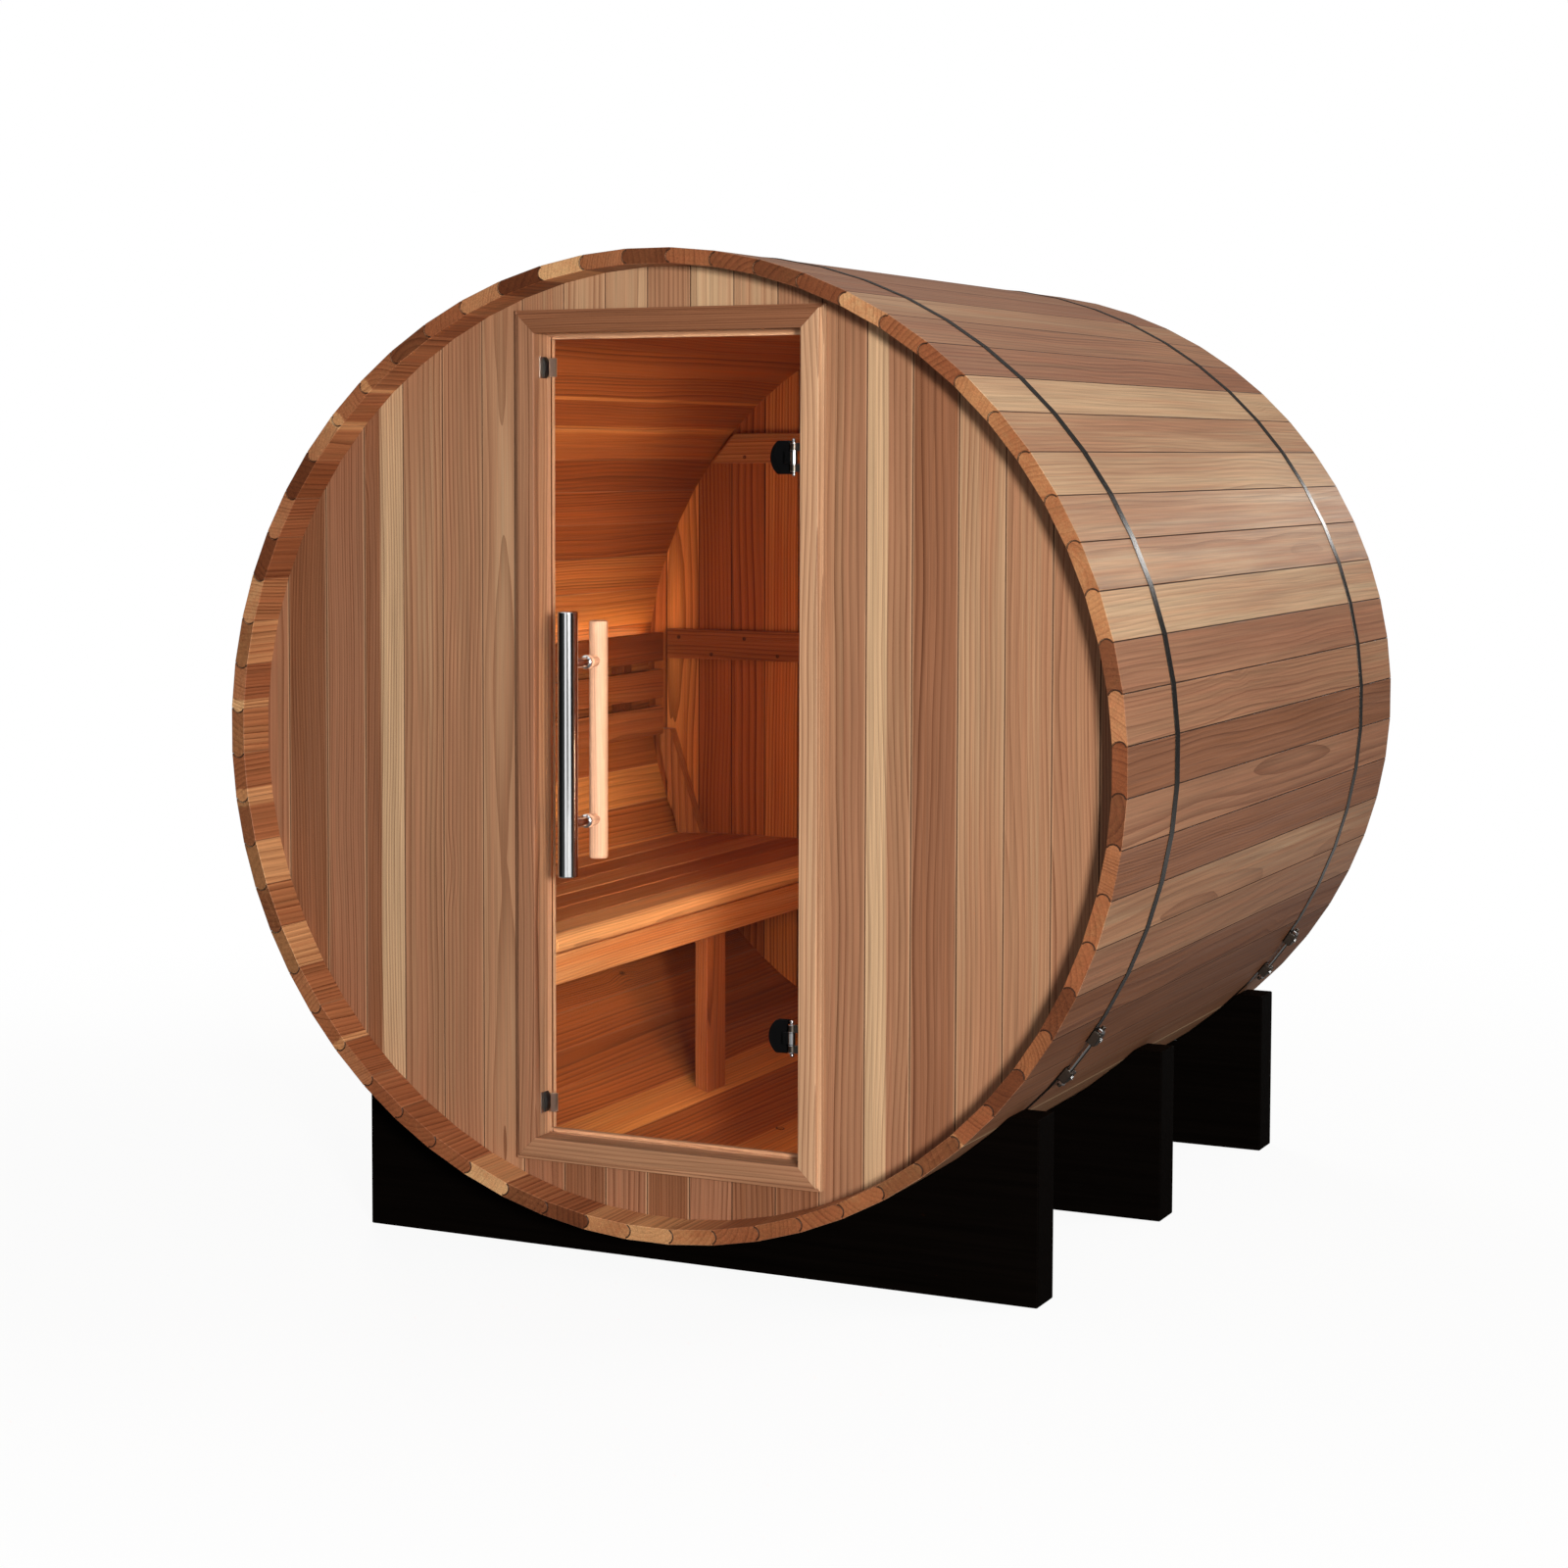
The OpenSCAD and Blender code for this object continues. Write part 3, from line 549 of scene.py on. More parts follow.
def cedar(name, tones, late, late_share, half=None, ends=None, inner=None, inner_tint=None, gloss=0.5,
          joint=(0.6, 0.3), ring=1.0, shine=0.16):
    """Solid cedar: year rings round each board's own heart, so faces, edges and ends agree.

    tones are board colours from pale to deep, late is the tint of the summer wood and late_share how
    strongly it shows. half is half a board's width and joint the shares of the dark line and the painted
    highlight along its joints. ends holds the tints of pale, middling and dark ends, inner is the depth of
    the inner face and inner_tint its tints at the barrel's lips and in the cabin, the cabin's stronger
    orange partly painted warm cabin light."""
    f = Finish(name)
    u, v, w = f.split(f.stored("grain"))
    seed, tone, sap = f.split(f.stored("board"))
    throw = f.node("ShaderNodeSeparateColor", {0: f.chance(seed).outputs["Color"]}).outputs

    def grain(across, along, detail=2.0, roughness=0.5):
        """Noise drawn out along the grain: its scale across and along the board."""
        at = f.vector(f.scaled(u, across, seed), f.times(v, across), f.scaled(w, along, seed))
        return f.noise(at, detail=detail, roughness=roughness)

    def about(value):
        return f.less(value, 0.5)

    sway = about(f.noise(f.vector(seed, f.times(w, 1.3), 0.0), detail=1.0))
    rise = about(f.noise(f.vector(f.math("ADD", seed, 7.7), w, 3.0), detail=1.0))
    heart_u = f.scaled(about(throw[0]), 0.55, f.times(sway, 0.04))
    heart_v = f.scaled(f.math("POWER", throw[1], 1.5), -0.07, f.scaled(rise, 0.04, -0.034))
    across, deep = f.less(u, heart_u), f.less(v, heart_v)

    spot = f.node("ShaderNodeTexVoronoi", {"Scale": 1.0, "Vector": f.vector(
        f.scaled(u, 10.0, f.times(seed, 3.1)), f.times(v, 6.0), f.times(w, 4.5))})
    rare = f.over(f.split(spot.outputs["Color"])[0], 0.975)
    knot = f.times(f.span(spot.outputs["Distance"], 0.08, 0.03), rare)
    eye = f.times(f.span(spot.outputs["Distance"], 0.45, 0.0), rare)

    radius = f.math("SQRT", f.math("ADD", f.times(across, across), f.times(deep, deep)))
    radius = f.scaled(about(grain(13.0, 1.5, 3.0)), 0.010, radius)
    radius = f.scaled(eye, 0.012, radius)
    year = timber().ring * ring
    years = f.math("DIVIDE", radius, f.scaled(throw[2], year, year * 0.6))
    summer = f.math("POWER", f.math("FRACT", years), 2.3)
    bold = f.chance(f.scaled(f.math("FLOOR", years), 1.37, seed)).outputs["Value"]
    line = f.times(summer, f.scaled(bold, 0.75, 0.25))

    streak = grain(85.0, 1.0, 3.0, 0.6)
    fibre = grain(330.0, 3.0, 3.0, 0.6)
    cloud = grain(11.0, 0.9)
    stops = [(i / (len(tones) - 1), board_tone) for i, board_tone in enumerate(tones)]
    colour = f.ramp(f.scaled(about(streak), 0.5, f.scaled(about(cloud), 0.45, tone)), stops)
    if half:
        left = f.over(sap, 1.5)
        from_left = f.less(f.times(f.less(sap, 3.0), half), u)
        from_right = f.scaled(sap, -half, u)
        edge = f.math("ADD", f.times(left, from_left), f.times(f.less(1.0, left), from_right))
        edge = f.scaled(about(streak), 0.012, edge)
        colour = f.mix(f.span(edge, -0.002, 0.003, 0.0, 0.9), colour, colours().pale)
    share = f.times(line, f.span(tone, 0.0, 0.5, late_share * 0.65, late_share))
    colour = f.mix(share, colour, f.tinted(colour, late))
    colour = f.brightness(colour, f.scaled(fibre, 1.0, f.scaled(streak, 0.8, 0.13)))
    colour = f.mix(f.times(knot, 0.85), colour, KNOT_BROWN)
    if inner is not None:
        inside = f.under(v, inner)
        # Inner faces take a warmer tint; the stronger orange inside the cabin is partly painted warm cabin
        # light.
        warmed = f.mix(f.under(f.math("ABSOLUTE", w), abs(WALL_Y)), *inner_tint)
        colour = f.mix(inside, colour, f.tinted(colour, warmed))
        colour = f.mix(f.times(inside, f.times(line, 0.8)), colour, f.tinted(colour, late))
    cut = 0.0
    if ends:
        cut = f.over(f.math("ABSOLUTE", f.split(f.place("Normal"))[1]), 0.75)
        pale, middling, dark = ends
        tint = f.ramp(throw[2], [(0.30, pale), (0.34, middling), (0.70, middling), (0.74, dark)])
        colour = f.mix(cut, colour, f.tinted(colour, tint))
        bead_r = timber().bead_r
        for sign, low, high, short in ((1, bead_r - 0.0012, bead_r + 0.0004, 0.0014),
                                       (-1, bead_r, bead_r + 0.0018, 0.0105)):
            x, y = bead_centre(sign)
            near = f.node("ShaderNodeVectorMath", {0: f.vector(f.less(u, x), f.less(v, y), 0.0)},
                          operation="LENGTH").outputs["Value"]
            seam = f.times(f.over(near, low), f.under(near, high))
            beyond = f.over(f.times(u, -sign), half - short)
            colour = f.mix(f.times(f.times(cut, beyond), f.times(seam, 0.85)), colour, SEAM_BROWN)
    if half:
        side = f.math("ABSOLUTE", u)
        face = f.less(1.0, cut)
        # Pale line along each board's edges on its faces, of random strength: a painted highlight where the
        # eased edge catches the light.
        wear_and_painted_highlight = f.times(f.span(side, half - 0.0046, half - 0.0022, 0.0, joint[1]), throw[1])
        colour = f.mix(f.times(wear_and_painted_highlight, face), colour, EDGE_HIGHLIGHT_TAN)
        gap = f.span(side, half - 0.0020, half - 0.0005, 0.0, joint[0])
        colour = f.mix(f.times(gap, face), colour, JOINT_BROWN)
    f.set(Base_Color=colour, Specular_IOR_Level=shine, Roughness=f.scaled(streak, 0.24, gloss - 0.12))
    f.bump(f.scaled(fibre, 0.6, f.times(line, 0.4)), 0.25, 0.0006)
    return f.material


def stained_timber():
    """Black stain with the grain just showing."""
    f = Finish("black_stained_timber")
    stain = colours().stain
    grain = f.noise(f.drawn_out(2.5, 90.0, 90.0), detail=4.0, roughness=0.6)
    f.set(Base_Color=f.mix(grain, [0.15 * c for c in stain], stain), Specular_IOR_Level=0.012,
          Roughness=f.scaled(grain, 0.25, 0.42))
    f.bump(grain, 0.3, 0.0012)
    return f.material


def metal(name, colour, gloss, streak_scale, streak_share=0.08):
    """Bare metal with fine polishing marks."""
    f = Finish(name)
    marks = f.noise(f.drawn_out(*streak_scale), detail=3.0)
    smear = f.noise(f.place(), 14.0, 2.0)
    f.set(Metallic=1.0, Base_Color=f.mix(f.times(smear, 0.3), colour, [0.72 * c for c in colour]),
          Roughness=f.scaled(marks, streak_share, gloss))
    f.bump(marks, 0.04, 0.0003)
    return f.material


def coated(name, colour, gloss, grain_scale, strength, shine=0.5):
    """Painted or moulded surface with a fine texture."""
    f = Finish(name)
    wear_and_painted_highlight = f.noise(f.place(), 35.0, 2.0)
    f.set(Base_Color=f.mix(f.times(wear_and_painted_highlight, 0.5), colour, [c * 1.8 + 0.002 for c in colour]),
          Specular_IOR_Level=shine, Roughness=f.scaled(wear_and_painted_highlight, 0.12, gloss))
    f.bump(f.noise(f.place(), grain_scale, 3.0), strength, 0.0005)
    return f.material


def clear_glass():
    """Clear safety glass with a trace of haze."""
    f = Finish("clear_glass")
    tint = f.mix(f.noise(f.place(), 1.5, 1.0), colours().glass, (1.0, 1.0, 1.0))
    f.set(Base_Color=tint, Transmission_Weight=1.0, IOR=1.13, Roughness=0.0)
    return f.material


def lamp_cover():
    """Diffusing cover of the strip light, lit on its upper face."""
    f = Finish("lamp_cover")
    beads = f.noise(f.drawn_out(0.0, 60.0, 0.0), detail=0.0)
    up = f.over(f.split(f.place("Normal"))[2], 0.5)
    f.set(Base_Color=f.mix(beads, srgb(250, 226, 180), srgb(255, 240, 214)), Roughness=0.45,
          Emission_Color=f.mix(up, (0.0, 0.0, 0.0), colours().glow), Emission_Strength=9.0)
    return f.material


FINISHES = {}


def make_finishes():
    """One material for each finish, kept by name for the operators."""
    c = colours()
    t = timber()
    half_stave = R_OUT * math.tan(math.pi / t.stave_count)
    half_board = t.board_w / 2
    summer = (0.32, 0.20, 0.14)
    outside = [c.pale, c.tan, c.rose, c.brown, c.deep]
    inside = [srgb(222, 156, 98), srgb(188, 114, 63), c.amber, srgb(136, 66, 30), srgb(112, 51, 22)]
    umber = (0.22, 0.12, 0.07)
    # The staves' second inner tint and the rear wall's inner tint are partly painted warm cabin light.
    FINISHES.update(
        staves=cedar("cedar_staves", outside, summer, 0.8, half_stave,
                     ends=((1.15, 1.02, 0.82), (0.78, 0.54, 0.38), (0.42, 0.28, 0.19)),
                     inner=0.0006 - t.stave_t / 2, inner_tint=((1.1, 0.82, 0.62), (1.12, 0.62, 0.26)),
                     gloss=0.47, joint=(0.9, 0.15), ring=1.6, shine=0.22),
        walls=cedar("cedar_walls", outside, summer, 1.0, half_board, gloss=0.47, joint=(0.7, 0.6), ring=1.5),
        rear=cedar("cedar_rear_wall", outside, summer, 0.9, half_board, inner=WALL_T / 2,
                   inner_tint=((1.36, 0.74, 0.32),) * 2, joint=(0.9, 0.0), ring=1.8),
        trim=cedar("cedar_trim", [srgb(230, 188, 148), srgb(190, 146, 112), c.tan, c.rose, c.brown],
                   summer, 1.0, gloss=0.45, ring=1.3),
        bench=cedar("cedar_bench", inside, umber, 1.0, gloss=0.5, ring=1.2),
        grip=cedar("cedar_grip", [srgb(206, 158, 128), srgb(194, 144, 114)], summer, 0.5, gloss=0.42),
        stain=stained_timber(),
        band=metal("band_steel", c.steel, 0.2, (60, 900, 60), 0.12),
        bright=metal("bright_metal", c.chrome, 0.07, (500, 500, 500)),
        dull=metal("dull_metal", srgb(96, 88, 80), 0.3, (400, 400, 400), 0.15),
        dark=metal("dark_screws", srgb(52, 36, 26), 0.4, (400, 400, 400), 0.15),
        brushed=metal("brushed_steel", srgb(206, 188, 174), 0.26, (60, 60, 900), 0.15),
        plate=coated("black_plate", c.black, 0.22, 900.0, 0.05, 0.06),
        rubber=coated("black_rubber", srgb(12, 12, 12), 0.5, 600.0, 0.2),
        glass=clear_glass(),
        lamp=lamp_cover(),
    )


# Repeats

FASTENER_SEED = 5


def repeat_tree(name, shape_label, sockets):
    """Tree that sets a shape on points and ends in real geometry with its material.

    Gives the tree, its own inputs and the inputs of the node that spreads the shape."""
    tree = bpy.data.node_groups.new(name, "GeometryNodeTree")
    add = tree.interface.new_socket
    add("Geometry", in_out="INPUT", socket_type="NodeSocketGeometry")
    add(shape_label, in_out="INPUT", socket_type="NodeSocketObject")
    for label, kind, value in sockets:
        add(label, in_out="INPUT", socket_type=kind).default_value = value
    add("Material", in_out="INPUT", socket_type="NodeSocketMaterial")
    add("Geometry", in_out="OUTPUT", socket_type="NodeSocketGeometry")
    new, link = tree.nodes.new, tree.links.new
    given, result = new("NodeGroupInput").outputs, new("NodeGroupOutput")
    shape, spread = new("GeometryNodeObjectInfo"), new("GeometryNodeInstanceOnPoints")
    real, coat = new("GeometryNodeRealizeInstances"), new("GeometryNodeSetMaterial")
    link(given[shape_label], shape.inputs["Object"])
    link(shape.outputs["Geometry"], spread.inputs["Instance"])
    link(spread.outputs[0], real.inputs[0])
    link(real.outputs[0], coat.inputs["Geometry"])
    link(given["Material"], coat.inputs["Material"])
    link(coat.outputs[0], result.inputs[0])
    return tree, given, spread.inputs


def stave_ring_tree():
    """Sets one stave on each point of a list, each turned on by one step about the barrel's axis."""
    tree, given, spread = repeat_tree("stave_ring", "Stave", [
        ("Step", "NodeSocketFloat", 0.1), ("Axis Height", "NodeSocketFloat", 1.0)])
    new, link = tree.nodes.new, tree.links.new
    index, angle, turn = new("GeometryNodeInputIndex"), new("ShaderNodeMath"), new("ShaderNodeCombineXYZ")
    lift, move = new("ShaderNodeCombineXYZ"), new("GeometryNodeSetPosition")
    angle.operation = "MULTIPLY"
    link(index.outputs[0], angle.inputs[0])
    link(given["Step"], angle.inputs[1])
    link(angle.outputs[0], turn.inputs["Y"])
    link(given["Axis Height"], lift.inputs["Z"])
    link(given["Geometry"], move.inputs["Geometry"])
    link(lift.outputs[0], move.inputs["Position"])
    link(move.outputs[0], spread["Points"])
    link(turn.outputs[0], spread["Rotation"])
    return tree


def fastener_tree():
    """Sets one fastener on each point, aimed along the point's stored direction."""
    tree, given, spread = repeat_tree("fasteners", "Fastener", [
        ("Size", "NodeSocketFloat", 1.0), ("Seed", "NodeSocketInt", FASTENER_SEED)])
    new, link = tree.nodes.new, tree.links.new
    aim, aligned = new("GeometryNodeInputNamedAttribute"), new("FunctionNodeAlignRotationToVector")
    chance, spin = new("FunctionNodeRandomValue"), new("ShaderNodeCombineXYZ")
    twist = new("FunctionNodeRotateRotation")
    aim.data_type = "FLOAT_VECTOR"
    aim.inputs["Name"].default_value = "aim"
    aligned.axis = "Z"
    twist.rotation_space = "LOCAL"
    chance.data_type = "FLOAT"
    turn_max = [s for s in chance.inputs if s.name == "Max" and s.enabled][0]
    turn_max.default_value = math.pi
    link(aim.outputs["Attribute"], aligned.inputs["Vector"])
    link(given["Seed"], chance.inputs["Seed"])
    link([s for s in chance.outputs if s.enabled][0], spin.inputs["Z"])
    link(aligned.outputs[0], twist.inputs["Rotation"])
    link(spin.outputs[0], twist.inputs["Rotate By"])
    link(given["Geometry"], spread["Points"])
    link(twist.outputs[0], spread["Rotation"])
    link(given["Size"], spread["Scale"])
    return tree


def grown(name, points_mesh, tree, values):
    """Runs a tree on a mesh of points and keeps the result as a plain mesh."""
    host = placed(name, points_mesh)
    grow = host.modifiers.new("grow", "NODES")
    grow.node_group = tree
    for item in tree.interface.items_tree:
        if item.in_out == "INPUT" and item.name in values:
            grow[item.identifier] = values[item.name]
    mesh = baked(host)
    bpy.data.objects.remove(host)
    return mesh


def point_mesh(name, spots, **layers):
    """Mesh of loose points with stored vectors."""
    mesh = bpy.data.meshes.new(name)
    mesh.from_pydata([tuple(spot) for spot in spots], [], [])
    for label, values in layers.items():
        stored = mesh.attributes.new(label, "FLOAT_VECTOR", "POINT")
        for slot, value in zip(stored.data, values):
            slot.vector = value
    return mesh


def screw_shape():
    """Countersunk head with a round recess, its face at height nought."""
    bm = bmesh.new()
    lathe(bm, [(0, -0.0012), (0.0030, -0.0012), (0.0042, -0.0002), (0.0042, 0.0003), (0.0036, 0.0006),
               (0.0016, 0.0006), (0.0012, -0.0004), (0, -0.0006)], (0, 0, 0), (0, 0, 1), 16)
    return placed("screw_shape", mesh_from(bm, "screw_shape"))


def fasteners(name, spots, aim, finish, body, size=1.0):
    """Screws on some spots, all aimed the same way."""
    shape = screw_shape()
    mesh = grown(name, point_mesh(name, spots, aim=[aim] * len(spots)), fastener_tree(), {
        "Fastener": shape, "Size": size, "Seed": FASTENER_SEED, "Material": FINISHES[finish]})
    discard(shape)
    return finished(name, mesh, finish, body)


# Pieces

def stave_outline():
    """Section of a stave in (across, out from the barrel's axis): bead on the left, cove on the right."""
    t = timber()
    step = 180 / t.stave_count
    r_in = R_OUT - t.stave_t
    r_mid = R_OUT - t.stave_t / 2
    slope = math.tan(math.radians(step))
    side = t.stave_gap / 2 / math.cos(math.radians(step))
    inner, outer = r_in * slope - side, R_OUT * slope - side
    centre = (t.bead_r - t.bead_h, r_mid)
    cove_r = t.bead_r + t.stave_gap
    cove_a = math.degrees(math.acos((-t.stave_gap / 2 - centre[0]) / cove_r))
    bead_a = math.degrees(math.acos((t.stave_gap / 2 - centre[0]) / t.bead_r))
    cove = turned(arc(centre, cove_r, 360 - cove_a, cove_a, 12), -step)
    bead = turned(arc(centre, t.bead_r, bead_a, 360 - bead_a, 12), step)
    low_left, low_right = (-inner, r_in), (inner, r_in)
    top_right, top_left = (outer, R_OUT), (-outer, R_OUT)
    corners = [low_left, low_right] + cove + [top_right, top_left] + bead
    radii = [0.0007, 0.0007] + [0] * len(cove) + [t.stave_ease] * 2 + [0] * len(bead)
    return rounded(corners, radii)


class SAUNA_OT_staves(bpy.types.Operator):
    """Builds the ring of beaded staves with the grooves that seat the end walls"""

    bl_idname = "sauna.staves"
    bl_label = "Staves"

    def execute(self, context):
        t = timber()
        r_mid = R_OUT - t.stave_t / 2
        outline = stave_outline()
        ease, shrink, whole = 0.0009, (0.982, 0.945), (1, 1)
        bm = bmesh.new()
        rings = []
        for y, (sx, sz) in ((FRONT_Y, shrink), (FRONT_Y + ease, whole),
                            (REAR_Y - ease, whole), (REAR_Y, shrink)):
            rings.append([bm.verts.new((x * sx, y, r_mid + (z - r_mid) * sz)) for x, z in outline])
        skin(bm, rings)
        stave = placed("stave", mesh_from(bm, "stave"))
        floor = R_OUT - t.stave_t + t.croze
        carved(stave, [
            block_tool((-0.2, y - t.croze_play, floor - 0.1), (0.2, y + WALL_T + t.croze_play, floor))
            for y in (WALL_Y, REAR_WALL_Y)])
        grain = stave.data.attributes.new("grain", "FLOAT_VECTOR", "POINT")
        for slot, vert in zip(grain.data, stave.data.vertices):
            slot.vector = (vert.co.x, vert.co.z - r_mid, vert.co.y)
        draw = random.Random(41)
        # Tones of the staves on the right side, counted from the top, then of the cabin floor. The pale ones
        # from 8 to 13 lie where the sheen falls and are partly a painted highlight.
        right_tones = (0.45, 0.4, 0.45, 0.4, 0.5, 0.25, 0.35, 0.5, 0.06, 0.2, 0.12, 0.2, 0.2, 0.1, 0.4, 0.34,
                       0.66, 0.4, 0.62, 0.28, 0.36, 0.7, 0.75, 0.65)
        floor_tones = (0.1, 0.0, 0.12, 0.5, 0.4, 0.08, 0.45, 0.6, 0.5, 0.55)
        tones = {**dict(enumerate(right_tones)), **dict(enumerate(floor_tones, 31))}
        looks = []
        for i in range(t.stave_count):
            turn = (t.stave_count - i) % t.stave_count
            sap = draw.choice((0.6, 0.75, 2.3, 2.4)) if draw.random() < 0.35 else NO_SAP
            tone = min(max(draw.gauss(0.45, 0.30), 0.0), 1.0)
            if turn in tones:
                tone, sap = tones[turn], NO_SAP
            looks.append((draw.uniform(0, 90), tone, sap))
        step = 2 * math.pi / t.stave_count
        points = point_mesh("staves", [(0, 0, 0)] * t.stave_count, board=looks)
        mesh = grown("staves", points, stave_ring_tree(), {
            "Stave": stave, "Step": -step, "Axis Height": AXIS_Z, "Material": FINISHES["staves"]})
        discard(stave)
        finished("barrel_staves", mesh, "staves", CABIN, STAVE_NODES)
        return {"FINISHED"}


def board_outline(tongue, groove):
    """Section of a wall board in (across, back from its outer face)."""
    t = timber()
    half = (t.board_w - t.board_gap) / 2
    b, play = t.board_bevel, t.board_gap
    bow = b * 0.3
    low, high = (WALL_T - t.tongue) / 2, (WALL_T + t.tongue) / 2
    face = [(-half + b + (2 * half - 2 * b) * i / 8, 0) for i in range(9)]
    back = [(-x, WALL_T) for x, _ in face]
    front_edge = [(half - bow, bow), (half, b)]
    rear_edge = [(-half + bow, WALL_T - bow), (-half, WALL_T - b)]
    right = [(half, WALL_T - b), (half - bow, WALL_T - bow)]
    left = [(-half, b), (-half + bow, bow)]
    if tongue:
        right = [(half, low), (half + t.tongue, low), (half + t.tongue, high), (half, high)] + right
    if groove:
        deep = -half + t.tongue + play
        left = [(-half, high + play), (deep, high + play), (deep, low - play), (-half, low - play)] + left
    return face + front_edge + right + back + rear_edge + left


def wall(boards, y, first, last, z0, z1, open_left, open_right, looks):
    """Boards of an end wall between two heights over the axis, cut to the barrel's round."""
    t = timber()
    reach = R_OUT - t.stave_t + t.croze - t.croze_play
    limit = reach * 0.99995

    def round_at(x):
        return math.sqrt(max(reach ** 2 - min(abs(x), limit) ** 2, 0))

    for i in range(first, last + 1):
        middle = i * t.board_w
        outline = board_outline(not (i == last and open_right), not (i == first and open_left))
        outline = [(max(-limit, min(limit, middle + u)) - middle, v) for u, v in outline]
        tone, sap = looks.get(i, (boards.draw.uniform(0.25, 0.6), NO_SAP))
        boards.run(outline, lambda u: max(z0, -round_at(middle + u)), lambda u: min(z1, round_at(middle + u)),
                   lambda u, v, w: Vector((middle + u, y + v, AXIS_Z + w)), tone=tone, sap=sap)


class SAUNA_OT_end_walls(bpy.types.Operator):
    """Builds the tongued boards of the front and rear walls"""

    bl_idname = "sauna.end_walls"
    bl_label = "End walls"

    def execute(self, context):
        def plain(first, *tones):
            """Looks of boards without sapwood, counted from the middle of the wall."""
            return {first + i: (tone, NO_SAP) for i, tone in enumerate(tones)}

        board_w = timber().board_w
        last = round((box("rear_wall")[1].x - board_w / 2) / board_w)
        edge = 3
        head = box("front_wall_header")[0].z - AXIS_Z
        foot = box("front_wall_sill")[1].z - AXIS_Z
        high = 2 * R_OUT
        beside = plain(-10, 0.4, 0.75, 0.5, 0.7, 0.3, 0.36, 0.26)
        beside.update(plain(4, 0.35, 0.3, 0.62, 0.24, 0.26, 0.34, 0.4))
        beside.update({-7: (0.7, -0.18), 5: (0.3, 2.94)})
        over = plain(-edge, 0.3, 0.2, 0.15, 0.25, 0.1, 0.2, 0.3)
        under = plain(-edge, 0.55, 0.7, 0.5, 0.75, 0.45, 0.7, 0.6)
        front = Timber(7)
        wall(front, WALL_Y, -last, -edge - 1, -high, high, False, True, beside)
        wall(front, WALL_Y, edge + 1, last, -high, high, True, False, beside)
        wall(front, WALL_Y, -edge, edge, head, high, True, True, over)
        wall(front, WALL_Y, -edge, edge, -high, foot, True, True, under)
        front.piece("front_wall_boards", "walls", "cedar_walls", (
            "front_wall_left", "front_wall_right", "front_wall_header", "front_wall_sill"))
        rear = Timber(19)
        wall(rear, REAR_WALL_Y, -last, last, -high, high, False, False,
             plain(-10, 0.5, 0.1, 0.6, 0.45, 0.15, 0.5, 0.3))
        rear.piece("rear_wall_boards", "rear", "cedar_walls", ("rear_wall",))
        return {"FINISHED"}


def mitred_frame(boards, section, y, half_x, half_z, middle_z, tones):
    """Four mitred boards round the doorway: left, foot, right, head.

    The section is in (out from the doorway, back)."""
    play = 0.0002

    def cut(half, sign):
        return lambda u: sign * (half + u - play)

    for i, side in enumerate((-1, 1)):
        boards.run(section, cut(half_z, -1), cut(half_z, 1),
                   lambda u, v, w: Vector((side * (half_x + u), y + v, middle_z + w)), tone=tones[2 * i])
        boards.run(section, cut(half_x, -1), cut(half_x, 1),
                   lambda u, v, w: Vector((w, y + v, middle_z + side * (half_z + u))), tone=tones[2 * i + 1])


class SAUNA_OT_doorway(bpy.types.Operator):
    """Builds the mitred jambs with their stop and the mitred trim"""

    bl_idname = "sauna.doorway"
    bl_label = "Doorway"

    def execute(self, context):
        low, high = box("door_trim")
        width, thick = 0.043, high.y - low.y
        half_x, half_z = high.x - width, (high.z - low.z) / 2 - width
        middle = (high.z + low.z) / 2
        step_w, step_d = 0.007, 0.008
        face = width - step_w
        section = rounded(
            [(0, thick), (0, 0), (face, 0), (face, step_d), (width, step_d), (width, thick)],
            [0, 0.003, 0.003, 0.0004, 0.001, 0], 4)
        trim = Timber(23)
        mitred_frame(trim, section, low.y, half_x, half_z, middle, (0.62, 0.55, 0.2, 0.95))
        trim.piece("door_trim_boards", "trim", "cedar_trim", ("door_trim",))

        low, high = box("door_jambs")
        jamb, depth = high.x - half_x, high.y - low.y
        stop_w, stop_d = 0.010, 0.015
        section = rounded(
            [(0, 0), (jamb, 0), (jamb, depth),
             (-stop_w, depth), (-stop_w, depth - stop_d), (0, depth - stop_d)],
            [0.0006, 0.0006, 0.0015, 0.002, 0.002, 0.0004], 3)
        jambs = Timber(29)
        mitred_frame(jambs, section, low.y, half_x, half_z, middle, (0.35, 0.5, 0.5, 0.45))
        jambs.piece("door_jamb_boards", "trim", "cedar_trim", ("door_jambs",))
        return {"FINISHED"}


